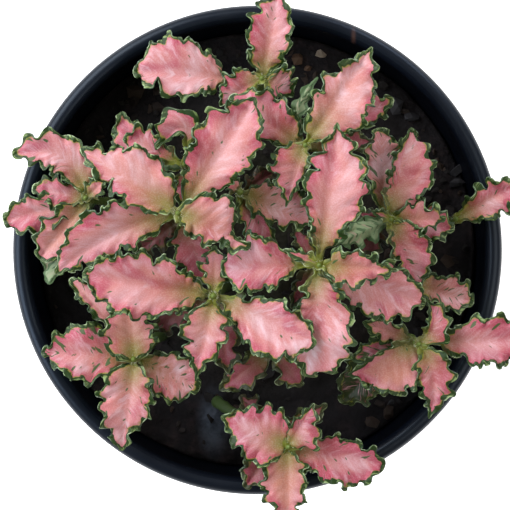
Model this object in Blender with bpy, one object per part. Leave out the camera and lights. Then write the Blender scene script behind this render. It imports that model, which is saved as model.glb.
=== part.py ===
"""A potted nerve plant: fifteen leafy stems standing in potting soil in a round black pot.

Metres, +Z up. The origin is the centre of the pot's flat underside. Seen from above, +X is to the
right and +Y is away from the front edge. Sizes in the leaf and stem tables are in millimetres.
"""

import math
import random
from dataclasses import dataclass

import bmesh
import bpy
from mathutils import Matrix, Vector, noise

MM = 0.001

# Pot, a turned thin wall with a rolled lip.
POT_HEIGHT = 0.095
RIM_RADIUS = 0.060
LIP_INNER_RADIUS = 0.0558
LIP_DROP = 0.011
LIP_STEP = 0.0024
LIP_CHAMFER = 0.0006
LIP_BLEND = 0.001
BASE_RADIUS = 0.042
BASE_CHAMFER = 0.0015
WALL = 0.0014
FLOOR = 0.0022
POT_SIDES = 48
LIP_ARC_STEPS = 6
DRAIN_HOLES = 6
DRAIN_HOLE_RADIUS = 0.0032
DRAIN_RING_RADIUS = 0.027
DRAIN_SIDES = 10

# Potting soil, filling the pot to a little under its lip.
SOIL_LEVEL = 0.077
SOIL_ROUGHNESS = 0.0016
SOIL_GRAIN = 0.016
SOIL_SIDES = 30
SOIL_RINGS = 5
SOIL_MOUND = 0.002
SOIL_EDGE_GAP = 0.0005
GAP = 0.0003

# Stems.
STEM_RADIUS = 0.0015
STEM_FOOT_RADIUS = 0.0017
STEM_TIP_RADIUS = 0.0009
STEM_SIDES = 6
STEM_RINGS = 7
STEM_DEPTH = 0.022
UPRIGHT_HEIGHT = 0.003
HOLE_SIDES = 8
HOLE_CUT_ABOVE = 0.010

# Leaves.
BLADE_THICKNESS = 0.0007
STALK_HALF_WIDTH = 0.0009
BASE_FULLNESS = 0.78
TIP_HALF_WIDTH = 0.0004
ROOT_DEPTH = 0.0006
TOOTH_DEPTH = 0.0008
TOOTH_LEAN = 0.2
TOOTHED_WIDTH = 0.003
TOOTH_SIZES = (0.55, 1.35)
NOTCH_SPREAD = 0.07
VEIN_LEAN = 0.08
WIDE_LEAF = 9.5
WIDE_ROWS = 4
NARROW_ROWS = 2
SEEDS_PER_STEM = 100

# Colours as linear RGB.
POT_BLACK = (0.010, 0.011, 0.014)
SOIL_BROWN = (0.022, 0.015, 0.011)
LEAF_PINK = (0.78, 0.33, 0.33)


@dataclass(frozen=True)
class Leaf:
    """One leaf on a stem. Lengths in millimetres, angles in degrees.

    down is how far below the stem's tip it is joined and tip where it ends. left and right are the
    blade's widths on each side of its midrib, looking from the stem, widest the share of the blade
    where they are reached, and taper how slender its ends are. arch and bow are how far the midrib
    rises and turns left halfway, roll how far the left edge is turned up, fold how far both edges
    are, stalk the bare share of the length and waves the teeth on each side. Each notch is a side
    (1 left, -1 right), a share of the length and a depth.
    """

    down: float
    tip: tuple
    left: float
    right: float
    widest: float = 0.5
    taper: float = 0.9
    arch: float = 1.5
    bow: float = 0
    roll: float = 0
    fold: float = 10
    stalk: float = 0.06
    waves: int = 5
    notches: tuple = ()


@dataclass(frozen=True)
class Stem:
    """One leafy stem: where it leaves the soil, where its growing tip is, and its leaves. Millimetres."""

    name: str
    ground: tuple
    tip: tuple
    leaves: tuple


STEMS = (
    Stem("stem_front_left", (-8, -8.5), (-10.5, -11, 117), (
        Leaf(3.0, (-10.3, 1, 110), 4, 3.8, arch=0.6, waves=4),
        Leaf(1.4, (-14.8, -31.2, 114.5), 6, 6.2, widest=0.4, taper=1.5, arch=1.6),
        Leaf(3.6, (-41.5, -5.6, 117), 9, 8.3, widest=0.58, taper=0.75, arch=1.5, roll=-8, waves=6),
        Leaf(4.0, (13.8, -22.3, 119.5), 6.5, 9, widest=0.64, taper=0.8, arch=1, waves=6),
        Leaf(8.0, (-7, -29.7, 106.5), 4.6, 4.6, arch=1, waves=4),
        Leaf(9.0, (-26, -19.5, 105), 4.5, 4.5, arch=0.5, waves=4),
    )),
    Stem("stem_back_left", (-15, 7), (-18.8, 8.6, 121), (
        Leaf(0.6, (-1.8, 0.5, 119), 8.8, 4.2, widest=0.5, taper=0.6, arch=1.2, stalk=0,
             notches=((1, 0.72, 4.2), (1, 0.82, 4), (1, 0.9, 2), (-1, 0.64, 1.2))),
        Leaf(1.4, (-42, 24, 116.6), 5.4, 9, widest=0.45, taper=0.85, waves=6, notches=((-1, 0.8, 2),)),
        Leaf(3.6, (-48, -5.8, 112), 5, 8.6, widest=0.5, taper=0.75, bow=-2.4, roll=-12, waves=6),
        Leaf(4.0, (-0.5, 36, 118), 8.3, 9, widest=0.6, waves=6),
        Leaf(12.5, (-13, -8, 106.5), 5, 5.6, arch=0.5, waves=4),
        Leaf(13.0, (-29.5, -1, 103.5), 3.6, 3.6, arch=0.4, waves=4),
    )),
    Stem("stem_middle", (-4, 11), (-4.2, 13.8, 112), (
        Leaf(1.5, (13.4, 6, 109), 7, 4.4, taper=0.8, arch=0.8),
        Leaf(3.0, (4.4, 1.4, 106.4), 3, 4.8, arch=0.5, waves=4),
        Leaf(2.0, (-7, 17, 109), 2.5, 2.5, arch=0.5, waves=4),
        Leaf(5.0, (5.4, 20, 105), 3, 3, arch=0.4, waves=4),
    )),
    Stem("stem_centre", (11, -3), (14.5, -3.6, 122), (
        Leaf(0.5, (6, 0, 121.5), 1.6, 2.2, widest=0.4, arch=0.6, waves=4),
        Leaf(0.9, (33.2, -4.8, 120), 4.4, 5.2, widest=0.38, taper=1.1, arch=1.4),
        Leaf(3.0, (18.8, 30, 120), 6.2, 10, widest=0.56, taper=1.1, arch=1.6, waves=6),
        Leaf(4.2, (11.4, -30.2, 111.5), 11.4, 4.6, widest=0.6, taper=0.65, arch=2.4, roll=12,
             fold=4, waves=6),
        Leaf(6.0, (-8.6, -4.6, 115), 6.4, 8.6, widest=0.6, taper=0.6, arch=0.8, stalk=0.22),
        Leaf(7.2, (40, -12.8, 112), 6.8, 8, widest=0.6, taper=0.7, arch=0.9, waves=6),
        Leaf(11.0, (8, -14, 109), 2.8, 2.8, arch=0.5, waves=4),
        Leaf(12.0, (8.5, 6, 106.5), 2.6, 3, arch=0.5, waves=4),
    )),
    Stem("stem_back", (8, 18.5), (11.3, 24.8, 117), (
        Leaf(0.6, (6.8, 10.2, 113.5), 2.8, 7.2, widest=0.34, taper=1.3, arch=1.6, stalk=0, roll=10),
        Leaf(1.2, (27.2, 48.2, 114.5), 5.8, 9.2, widest=0.46, taper=1.05, waves=6),
        Leaf(4.0, (-6.8, 36.5, 110.5), 5, 7.6, widest=0.55, taper=0.75, arch=0.8),
        Leaf(4.4, (28, 26, 110), 4, 3.4, arch=0.6, waves=4),
        Leaf(8.0, (32.6, 36.2, 108.5), 5, 3.6, widest=0.7, taper=0.7, arch=0.6),
        Leaf(8.4, (14.5, 41.5, 108), 2.6, 2, arch=0.6, bow=3, roll=172, waves=4),
    )),
    Stem("stem_far_back", (0.5, 34), (1, 41.3, 107), (
        Leaf(0.5, (-9, 34.6, 105.5), 1.8, 6, arch=1, stalk=0, waves=4),
        Leaf(0.9, (8.6, 37, 104), 6, 3, arch=0.8, waves=4),
        Leaf(3.0, (5, 62, 106.5), 6, 6, widest=0.55, taper=0.7, arch=0.9),
        Leaf(3.5, (-30, 43, 105), 6.3, 10, widest=0.5, taper=0.9, arch=1.4, stalk=0.28, waves=6,
             notches=((1, 0.8, 1.6),)),
    )),
    Stem("stem_right", (26, 5), (32, 7.3, 109), (
        Leaf(0.4, (27.3, 9.3, 109), 1.6, 2, arch=0.6, waves=4),
        Leaf(1.0, (38.8, -9.6, 105.5), 7.4, 3, widest=0.5, taper=0.85, arch=1, stalk=0),
        Leaf(2.0, (45.2, 7.4, 107), 5, 3.6, taper=0.75, arch=0.7, waves=4),
        Leaf(3.5, (37, 29.4, 106), 3.2, 8.6, widest=0.5, taper=0.8, arch=0.8, stalk=0.08),
        Leaf(5.5, (47.6, 5.2, 102.5), 5.6, 4.4, widest=0.6, taper=0.6, arch=0.5),
        Leaf(5.0, (18.5, 1.5, 104.5), 3.8, 3.8, arch=0.4, roll=165, waves=4),
        Leaf(6.0, (23.5, 9, 103), 2.4, 2.4, arch=0.4, waves=4),
        Leaf(8.0, (30, 29.6, 101), 5, 5, widest=0.7, taper=0.5, arch=0.4, waves=4),
        Leaf(9.5, (24.5, -1.5, 99.5), 4, 3.6, arch=0.4, waves=4),
    )),
    Stem("stem_low_right", (34, -7), (37.5, -8.4, 100), (
        Leaf(0.5, (52.6, -12.8, 98), 5.6, 4.2, widest=0.6, taper=0.6, arch=0.4, waves=4),
        Leaf(0.9, (29, -6, 98.5), 3, 3, arch=0.4, waves=4),
    )),
    Stem("stem_right_front", (31, -18), (38.8, -22.6, 109), (
        Leaf(0.5, (40.6, -12, 109), 2.4, 4.4, arch=1.2, bow=-2.6, stalk=0, waves=4),
        Leaf(0.9, (41.3, -40.6, 105), 5.6, 4.4, widest=0.42, taper=1.1, arch=1.6, bow=2.2),
        Leaf(3.0, (68, -21.5, 107), 6.8, 6.6, widest=0.55, taper=0.7, arch=0.8, stalk=0.2),
        Leaf(3.4, (22, -30, 103.5), 10.6, 2.6, widest=0.42, taper=0.85, arch=0.8, stalk=0),
        Leaf(7.0, (23, -26.6, 100.5), 3.4, 3.8, widest=0.6, taper=0.7, arch=0.4, waves=4),
        Leaf(5.0, (25.5, -17.4, 102.5), 3.4, 3.6, arch=0.4, waves=4),
        Leaf(12.0, (20.5, -37.5, 92), 6.2, 6.2, widest=0.6, taper=0.7, arch=0.4, waves=4),
    )),
    Stem("stem_front", (-10, -38), (7.6, -47.6, 104), (
        Leaf(0.5, (13.6, -37, 105), 3, 6.4, widest=0.4, taper=1.1, arch=0.8, stalk=0, waves=4,
             notches=((-1, 0.6, 1.6),)),
        Leaf(1.0, (-8.8, -40.3, 101.5), 7.6, 8, widest=0.36, taper=0.95, arch=0.8, stalk=0),
        Leaf(1.4, (7.5, -67, 101.5), 5.2, 6.6, widest=0.42, taper=0.8, arch=0.6),
        Leaf(3.0, (31, -52.2, 99.8), 5, 7.8, widest=0.58, taper=0.6, arch=0.5),
        Leaf(4.6, (-3, -58, 98), 4.2, 4.2, widest=0.55, taper=0.7, arch=0.3, waves=4),
        Leaf(6.0, (16.8, -37.4, 98), 2.8, 4.8, arch=0.4, waves=4),
        Leaf(5.4, (-4.2, -35.4, 97.5), 3, 3.6, widest=0.6, taper=0.7, arch=0.3, waves=4),
    )),
    Stem("stem_low_front", (5, -20), (3.4, -24.6, 103), (
        Leaf(0.5, (-9.2, -34, 99.5), 4.4, 3.6, taper=0.8, arch=0.5, waves=4),
        Leaf(0.9, (10.8, -33, 100), 4, 3.8, widest=0.6, taper=0.8, arch=0.5, waves=4),
    )),
    Stem("stem_left_front", (-24, -21), (-29.8, -26.3, 108), (
        Leaf(0.8, (-31.5, -11, 106.5), 7, 6.4, widest=0.42, taper=0.65, arch=1.2, stalk=0),
        Leaf(1.4, (-32.7, -48.4, 104.5), 6, 7.8, widest=0.42, taper=0.85, arch=1.2, waves=6,
             notches=((1, 0.8, 1.6),)),
        Leaf(3.5, (-52.2, -24.7, 104), 7, 8.4, widest=0.5, taper=0.85, arch=1),
        Leaf(4.0, (-14, -33.4, 102), 6, 7, widest=0.6, taper=0.7, arch=0.6),
        Leaf(7.0, (-45.6, -7, 99.5), 2.6, 4, widest=0.75, taper=0.6, arch=0.4, waves=4),
        Leaf(6.5, (-26.2, -34, 99.5), 1.8, 1.8, arch=0.3, waves=4),
    )),
    Stem("stem_left", (-34, 11), (-41.6, 12.6, 103), (
        Leaf(0.5, (-36.5, 17, 103), 3, 2.6, arch=0.5, stalk=0, waves=4),
        Leaf(1.0, (-59.4, 22.8, 101), 4.4, 6.4, widest=0.5, taper=0.55, arch=0.8, bow=-5.5),
        Leaf(2.4, (-54.8, 14.8, 98.6), 3.6, 4.6, widest=0.55, taper=0.6, arch=0.5, waves=4),
        Leaf(4.2, (-61.8, 7, 98.6), 5.2, 5, widest=0.65, taper=0.5, arch=0.3),
        Leaf(3.0, (-53, -2.2, 98.5), 5.6, 5.8, widest=0.6, taper=0.55, arch=0.4, waves=4),
        Leaf(6.0, (-51, -8.4, 96), 4.4, 1.8, widest=0.75, taper=0.6, arch=0.3, roll=172, waves=4),
    )),
    Stem("stem_left_back", (-15.5, 17), (-17.5, 20.5, 109), (
        Leaf(0.6, (-24.4, 24, 108.5), 1.4, 6, widest=0.55, taper=0.75, arch=2, bow=-7, stalk=0.25),
        Leaf(1.5, (-32.2, 27, 106.5), 4, 5.4, widest=0.7, taper=0.75, arch=0.6),
        Leaf(5.0, (-32.8, 33.4, 102.5), 6, 4, widest=0.6, taper=0.75, arch=0.5, bow=3.5, waves=4),
        Leaf(5.4, (-18.6, 10.6, 103.5), 3.2, 3.2, arch=0.4, waves=4),
        Leaf(3.6, (-25.2, 20.4, 105.5), 1.6, 1.4, arch=0.4, roll=165, waves=4),
    )),
    Stem("stem_right_edge", (44, 5), (48.6, 7.6, 95.5), (
        Leaf(0.5, (64, 16.6, 100), 4.8, 5.4, widest=0.6, taper=0.8, arch=0.4, stalk=0),
    )),
)


def clear_scene():
    """Removes every object that a new file starts with."""
    for obj in list(bpy.data.objects):
        bpy.data.objects.remove(obj, do_unlink=True)


def make_material(name, color, roughness):
    """A plain Principled material."""
    material = bpy.data.materials.new(name)
    material.use_nodes = True
    shader = material.node_tree.nodes["Principled BSDF"]
    shader.inputs["Base Color"].default_value = (*color, 1.0)
    shader.inputs["Roughness"].default_value = roughness
    shader.inputs["Metallic"].default_value = 0.0
    return material


def object_from(bm, name, material):
    """Turns a bmesh into a scene object with outward faces."""
    bmesh.ops.recalc_face_normals(bm, faces=bm.faces)
    mesh = bpy.data.meshes.new(name)
    bm.to_mesh(mesh)
    bm.free()
    mesh.materials.append(material)
    obj = bpy.data.objects.new(name, mesh)
    bpy.context.scene.collection.objects.link(obj)
    return obj


def smooth_by_angle(obj, degrees=40):
    """Shades an object smooth except at sharp edges."""
    obj.data.shade_smooth()
    obj.data.set_sharp_from_angle(angle=math.radians(degrees))


def turned(profile, sides):
    """Spins (radius, height) points that start and end on the axis into a closed solid."""
    bm = bmesh.new()
    verts = [bm.verts.new((radius, 0, height)) for radius, height in profile]
    edges = [bm.edges.new(pair) for pair in zip(verts, verts[1:])]
    bmesh.ops.spin(
        bm, geom=verts + edges, cent=(0, 0, 0), axis=(0, 0, 1), angle=math.tau, steps=sides,
        use_merge=True, use_duplicate=False,
    )
    bmesh.ops.remove_doubles(bm, verts=bm.verts, dist=1e-6)
    return bm


def pot_outer_radius(height):
    """The pot's outer wall radius below the lip, a straight taper."""
    top = RIM_RADIUS - LIP_STEP
    share = height / (POT_HEIGHT - LIP_DROP)
    return BASE_RADIUS + (top - BASE_RADIUS) * share


def pot_inner_radius(height):
    """The pot's inner wall radius at a height."""
    return pot_outer_radius(height) - WALL


def lip_profile():
    """The rolled lip, from its lower outer edge over the top to its inner edge."""
    lip_radius = (RIM_RADIUS - LIP_INNER_RADIUS) / 2
    centre_r = RIM_RADIUS - lip_radius
    centre_z = POT_HEIGHT - lip_radius
    points = [
        (RIM_RADIUS - LIP_STEP, POT_HEIGHT - LIP_DROP),
        (RIM_RADIUS - LIP_CHAMFER, POT_HEIGHT - LIP_DROP),
        (RIM_RADIUS, POT_HEIGHT - LIP_DROP + LIP_CHAMFER),
    ]
    for step in range(LIP_ARC_STEPS + 1):
        angle = math.pi * step / LIP_ARC_STEPS
        points.append((centre_r + lip_radius * math.cos(angle), centre_z + lip_radius * math.sin(angle)))
    return points


def build_pot(material):
    """The pot: a turned wall with a rolled lip and a flat floor with round drain holes."""
    inner_top = POT_HEIGHT - (RIM_RADIUS - LIP_INNER_RADIUS)
    profile = [
        (0, 0),
        (BASE_RADIUS - BASE_CHAMFER, 0),
        (pot_outer_radius(BASE_CHAMFER), BASE_CHAMFER),
        *lip_profile(),
        (pot_inner_radius(inner_top), inner_top - LIP_BLEND),
        (pot_inner_radius(FLOOR), FLOOR),
        (0, FLOOR),
    ]
    pot = object_from(turned(profile, POT_SIDES), "pot", material)
    drill_drain_holes(pot)
    smooth_by_angle(pot)
    return pot


def drill_drain_holes(pot):
    """Cuts a ring of round holes through the pot's floor."""
    for index in range(DRAIN_HOLES):
        angle = math.tau * index / DRAIN_HOLES
        bm = bmesh.new()
        bmesh.ops.create_cone(
            bm, cap_ends=True, segments=DRAIN_SIDES, radius1=DRAIN_HOLE_RADIUS, radius2=DRAIN_HOLE_RADIUS,
            depth=FLOOR * 4,
        )
        cutter = object_from(bm, f"drain_cutter_{index}", pot.data.materials[0])
        cutter.location = (
            DRAIN_RING_RADIUS * math.cos(angle), DRAIN_RING_RADIUS * math.sin(angle), FLOOR / 2,
        )
        cut = pot.modifiers.new(f"drain_{index}", "BOOLEAN")
        cut.operation = "DIFFERENCE"
        cut.object = cutter
        cutter.hide_render = True
        cutter.display_type = "WIRE"


def soil_height(x, y):
    """The height of the soil's uneven surface at a place."""
    rough = noise.noise(Vector((x, y, 0)) / SOIL_GRAIN) + 0.5 * noise.noise(Vector((y, x, 1)) / SOIL_GRAIN * 2)
    spread = math.hypot(x, y) / RIM_RADIUS
    return SOIL_LEVEL + SOIL_MOUND * (0.5 - spread * spread) + SOIL_ROUGHNESS * rough


def build_soil(material):
    """The potting soil: it fills the pot, has an uneven top, and has a plain hole for each stem."""
    low = FLOOR + GAP
    top_radius = pot_inner_radius(SOIL_LEVEL) - SOIL_EDGE_GAP
    profile = [(0, low), (pot_inner_radius(low) - GAP, low), (top_radius, SOIL_LEVEL)]
    for ring in range(SOIL_RINGS - 1, -1, -1):
        profile.append((top_radius * ring / SOIL_RINGS, SOIL_LEVEL))
    bm = turned(profile, SOIL_SIDES)
    for vert in bm.verts:
        if vert.co.z > SOIL_LEVEL - 1e-5:
            vert.co.z = soil_height(vert.co.x, vert.co.y)
    soil = object_from(bm, "soil", material)
    for stem in STEMS:
        drill_stem_hole(soil, stem)
    return soil


def drill_stem_hole(soil, stem):
    """Cuts the plain upright hole that a stem's foot stands in."""
    depth = STEM_DEPTH + GAP
    length = depth + HOLE_CUT_ABOVE
    bm = bmesh.new()
    radius = (STEM_FOOT_RADIUS + GAP) / math.cos(math.pi / HOLE_SIDES)
    bmesh.ops.create_cone(
        bm, cap_ends=True, segments=HOLE_SIDES, radius1=radius, radius2=radius, depth=length,
    )
    cutter = object_from(bm, f"hole_{stem.name}", soil.data.materials[0])
    x, y = stem.ground[0] * MM, stem.ground[1] * MM
    cutter.location = (x, y, SOIL_LEVEL - depth + length / 2)
    cut = soil.modifiers.new(f"hole_{stem.name}", "BOOLEAN")
    cut.operation = "DIFFERENCE"
    cut.object = cutter
    cutter.hide_render = True
    cutter.display_type = "WIRE"


def stem_point(stem, height):
    """The stem's centre at a height: upright in the soil, then leaning over to its tip."""
    foot = SOIL_LEVEL + UPRIGHT_HEIGHT
    tip_height = stem.tip[2] * MM
    share = min(max((height - foot) / (tip_height - foot), 0), 1)
    lean = share * share * (3 - 2 * share) * 0.5 + share * 0.5
    ground = Vector((*stem.ground, 0)) * MM
    tip = Vector((stem.tip[0], stem.tip[1], 0)) * MM
    place = ground.lerp(tip, lean)
    place.z = height
    return place


def build_stem(stem, material):
    """The bare stem: a tapered tube bridged from rings along its line."""
    bm = bmesh.new()
    low = SOIL_LEVEL - STEM_DEPTH
    foot = SOIL_LEVEL + UPRIGHT_HEIGHT
    high = stem.tip[2] * MM
    heights = [low, foot] + [foot + (high - foot) * i / (STEM_RINGS - 2) for i in range(1, STEM_RINGS - 1)]
    last_ring = None
    for index, height in enumerate(heights):
        share = index / (len(heights) - 1)
        radius = STEM_FOOT_RADIUS if index < 2 else STEM_RADIUS + (STEM_TIP_RADIUS - STEM_RADIUS) * share
        ring = bmesh.ops.create_circle(
            bm, segments=STEM_SIDES, radius=radius, cap_ends=index in (0, len(heights) - 1),
            matrix=Matrix.Translation(stem_point(stem, height)),
        )["verts"]
        edges = [e for e in bm.edges if e.verts[0] in ring and e.verts[1] in ring]
        if last_ring:
            bmesh.ops.bridge_loops(bm, edges=last_ring + edges)
        last_ring = edges
    return object_from(bm, stem.name, material)


def midrib_frame(stem, leaf, share):
    """The midrib at a share of its length: its place, and its forward, left and up directions."""
    base = stem_point(stem, (stem.tip[2] - leaf.down) * MM)
    tip = Vector(leaf.tip) * MM
    across = Vector((base.y - tip.y, tip.x - base.x, 0)).normalized()
    bend = across * leaf.bow * MM + Vector((0, 0, leaf.arch * MM))
    place = base.lerp(tip, share) + bend * (4 * share * (1 - share))
    forward = (tip - base + bend * (4 - 8 * share)).normalized()
    level = Vector((-forward.y, forward.x, 0)).normalized()
    left = Matrix.Rotation(math.radians(leaf.roll), 3, forward) @ level
    return place, forward, left, forward.cross(left)


def half_width(leaf, share, side):
    """The blade's width on one side at a share of its length: a stalk, then an oval full at its base."""
    blade = min(max((share - leaf.stalk) / (1 - leaf.stalk), 0), 1)
    power = math.log(0.5) / math.log(leaf.widest)
    taper = leaf.taper * BASE_FULLNESS if blade < leaf.widest else leaf.taper
    oval = max(math.sin(math.pi * blade ** power), 0) ** taper
    edge = STALK_HALF_WIDTH + (TIP_HALF_WIDTH - STALK_HALF_WIDTH) * blade
    full = (leaf.left if side > 0 else leaf.right) * MM
    width = edge + (full - STALK_HALF_WIDTH) * oval
    for notch_side, place, depth in leaf.notches:
        if notch_side * side > 0:
            width -= depth * MM * math.exp(-(((share - place) / NOTCH_SPREAD) ** 2))
    return max(width, edge)


def tooth_sizes(leaf, seed):
    """Uneven sizes, one for each tooth and notch of each side, and each side's ruffle phase."""
    draw = random.Random(seed)
    sizes = [[draw.uniform(*TOOTH_SIZES) for _ in range(2 * leaf.waves + 1)] for _ in range(2)]
    phases = [draw.uniform(0, math.tau) for _ in range(2)]
    return sizes, phases


def blade_point(stem, leaf, teeth, along, across):
    """A point of the blade: along runs 0 to 1 from stem to tip, across -1 to 1 between its edges."""
    share = along + VEIN_LEAN * math.sin(math.pi * along) * across * across
    place, forward, left, up = midrib_frame(stem, leaf, share)
    half = half_width(leaf, share, across)
    fold = math.radians(leaf.fold)
    point = place + left * (across * half * math.cos(fold)) + up * (abs(across) * half * math.sin(fold))
    if along == 0:
        point -= forward * ROOT_DEPTH
    if abs(across) < 0.99:
        return point
    sizes, phases = teeth
    hand = 0 if across > 0 else 1
    step = round(along * 2 * leaf.waves)
    size = sizes[hand][step] * min(half / TOOTHED_WIDTH, 1) * TOOTH_DEPTH
    wave = math.cos(math.pi * step)
    outward = left if across > 0 else -left
    ruffle = math.sin(math.pi * step * 0.5 + phases[hand])
    return point + (outward + forward * TOOTH_LEAN) * (wave * size) + up * (ruffle * size)


def build_blade(stem, leaf, seed, material):
    """One leaf blade: a flat grid with extra points on its edges, triangulated, bent and thickened."""
    bm = bmesh.new()
    rows = WIDE_ROWS if leaf.left + leaf.right > WIDE_LEAF else NARROW_ROWS
    bmesh.ops.create_grid(bm, x_segments=leaf.waves, y_segments=rows, size=1)
    edge_lines = [e for e in bm.edges if all(abs(abs(v.co.y) - 1) < 1e-4 for v in e.verts)]
    bmesh.ops.subdivide_edges(bm, edges=edge_lines, cuts=1)
    bmesh.ops.triangulate(bm, faces=bm.faces, quad_method="ALTERNATE", ngon_method="BEAUTY")
    teeth = tooth_sizes(leaf, seed)
    for vert in bm.verts:
        vert.co = blade_point(stem, leaf, teeth, (vert.co.x + 1) / 2, vert.co.y)
    blade = object_from(bm, f"leaf_{seed}", material)
    thicken = blade.modifiers.new("thickness", "SOLIDIFY")
    thicken.thickness = BLADE_THICKNESS
    thicken.offset = 0
    apply_modifiers(blade)
    return blade


def build_leafy_stem(number, stem, material):
    """One stem with its leaves, joined into one body by a single Boolean union."""
    body = build_stem(stem, material)
    group = bpy.data.collections.new(f"leaves_{stem.name}")
    bpy.context.scene.collection.children.link(group)
    for index, leaf in enumerate(stem.leaves):
        blade = build_blade(stem, leaf, number * SEEDS_PER_STEM + index, material)
        bpy.context.scene.collection.objects.unlink(blade)
        group.objects.link(blade)
    union = body.modifiers.new("leaves", "BOOLEAN")
    union.operation = "UNION"
    union.solver = "MANIFOLD"
    union.operand_type = "COLLECTION"
    union.collection = group
    apply_modifiers(body)
    for blade in list(group.objects):
        bpy.data.objects.remove(blade, do_unlink=True)
    bpy.data.collections.remove(group)
    keep_outer_shell(body)
    return body


def keep_outer_shell(obj):
    """Fills any hollow sealed among joined pieces: it keeps only the largest connected surface."""
    bm = bmesh.new()
    bm.from_mesh(obj.data)
    waiting = set(bm.verts)
    shells = []
    while waiting:
        shell = {waiting.pop()}
        reached = list(shell)
        while reached:
            vert = reached.pop()
            for edge in vert.link_edges:
                other = edge.other_vert(vert)
                if other not in shell:
                    shell.add(other)
                    reached.append(other)
        waiting -= shell
        shells.append(shell)
    shells.sort(key=len)
    for shell in shells[:-1]:
        bmesh.ops.delete(bm, geom=list(shell), context="VERTS")
    bm.to_mesh(obj.data)
    bm.free()


def apply_modifiers(obj):
    """Replaces an object's mesh with its evaluated one."""
    graph = bpy.context.evaluated_depsgraph_get()
    made = bpy.data.meshes.new_from_object(obj.evaluated_get(graph))
    obj.modifiers.clear()
    obj.data = made


def main():
    """Builds the pot, the soil and every leafy stem."""
    clear_scene()
    build_pot(make_material("black_plastic", POT_BLACK, 0.38))
    build_soil(make_material("soil", SOIL_BROWN, 0.95))
    leaf_material = make_material("leaf", LEAF_PINK, 0.5)
    for number, stem in enumerate(STEMS, start=1):
        build_leafy_stem(number, stem, leaf_material)


if __name__ == "__main__":
    main()
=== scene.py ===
"""The finished look of a potted nerve plant: pink, green-edged ruffled leaves in a round black pot.

Metres, +Z up, origin at the centre of the pot's flat underside. +X is to the right and +Y to the top
of the picture, which is taken from straight above. Sizes in the leaf and stem tables are millimetres.
"""

import logging
import math
import random
from dataclasses import asdict, dataclass, field
from enum import Enum

import bmesh
import bpy
import numpy as np
from mathutils import Matrix, Vector, noise


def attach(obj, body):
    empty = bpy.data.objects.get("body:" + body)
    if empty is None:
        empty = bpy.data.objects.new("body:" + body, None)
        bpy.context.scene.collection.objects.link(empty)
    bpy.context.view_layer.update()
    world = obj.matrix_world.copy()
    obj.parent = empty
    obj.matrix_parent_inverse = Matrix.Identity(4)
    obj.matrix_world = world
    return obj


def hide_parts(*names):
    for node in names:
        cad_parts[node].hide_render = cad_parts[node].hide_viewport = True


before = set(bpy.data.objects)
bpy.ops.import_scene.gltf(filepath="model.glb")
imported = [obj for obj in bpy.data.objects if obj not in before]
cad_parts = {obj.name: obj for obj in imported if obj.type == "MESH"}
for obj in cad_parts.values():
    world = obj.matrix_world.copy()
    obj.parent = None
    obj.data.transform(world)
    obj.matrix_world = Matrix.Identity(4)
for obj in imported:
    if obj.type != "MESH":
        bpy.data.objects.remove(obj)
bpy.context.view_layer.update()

MM = 0.001
BODY = "root"
POT_HEIGHT = 0.095
RIM_RADIUS = 0.060
SOIL_LEVEL = 0.077
MERGE_DISTANCE = 1e-6
SIDES = (1.0, -1.0)  # the signs of a leaf's left and right half

Array = np.ndarray
Colour = tuple[float, float, float]
Point = tuple[float, float, float]
Outline = list[tuple[float, float]]
Socket = bpy.types.NodeSocket


class Slot(Enum):
    """The material slots: pot, soil and foliage."""

    POT = "pot"
    SOIL = "soil"
    FOLIAGE = "foliage"


@dataclass(frozen=True)
class Tone:
    """How far a leaf's colour leaves plain pink, each 0 to 1.

    rose is deep rose towards the margins, salmon an orange cast, pale how white its streaks are,
    olive how far brownish green spreads from its base, flecks how many green flecks it has,
    shade how dark it lies under other leaves and green how far dark green fills it between pale streaks.
    """

    rose: float = 0.5
    salmon: float = 0.2
    pale: float = 0.5
    olive: float = 0.45
    flecks: float = 0.4
    shade: float = 0.0
    green: float = 0.0


class LeafTone(Enum):
    """The named leaf colours of this plant."""

    PINK = Tone()
    ROSE = Tone(rose=0.85, salmon=0.1, pale=0.55, olive=0.3, flecks=0.5)
    SALMON = Tone(rose=0.25, salmon=0.8, pale=0.3, olive=0.6, flecks=0.1)
    PALE = Tone(rose=0.3, salmon=0.1, pale=0.85, olive=0.35, flecks=0.45)
    TAN = Tone(rose=0.1, salmon=0.35, pale=0.8, olive=0.8, flecks=0.85)
    PEACH = Tone(rose=0.25, salmon=0.4, pale=0.65, olive=0.6, flecks=0.1)
    FLECKED = Tone(rose=0.6, salmon=0.15, pale=0.6, olive=0.5, flecks=1.0)
    OLIVE = Tone(rose=0.2, salmon=0.7, pale=0.2, olive=1.0, flecks=0.2)
    SHADED = Tone(rose=0.8, salmon=0.5, pale=0.1, olive=0.6, flecks=0.2, shade=0.45)
    DARK = Tone(rose=0.9, salmon=0.5, pale=0.0, olive=0.7, flecks=0.8, shade=0.7)
    STREAKED = Tone(rose=0.5, salmon=0.0, pale=0.6, olive=0.2, flecks=0.6, shade=0.3, green=1.0)


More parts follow.
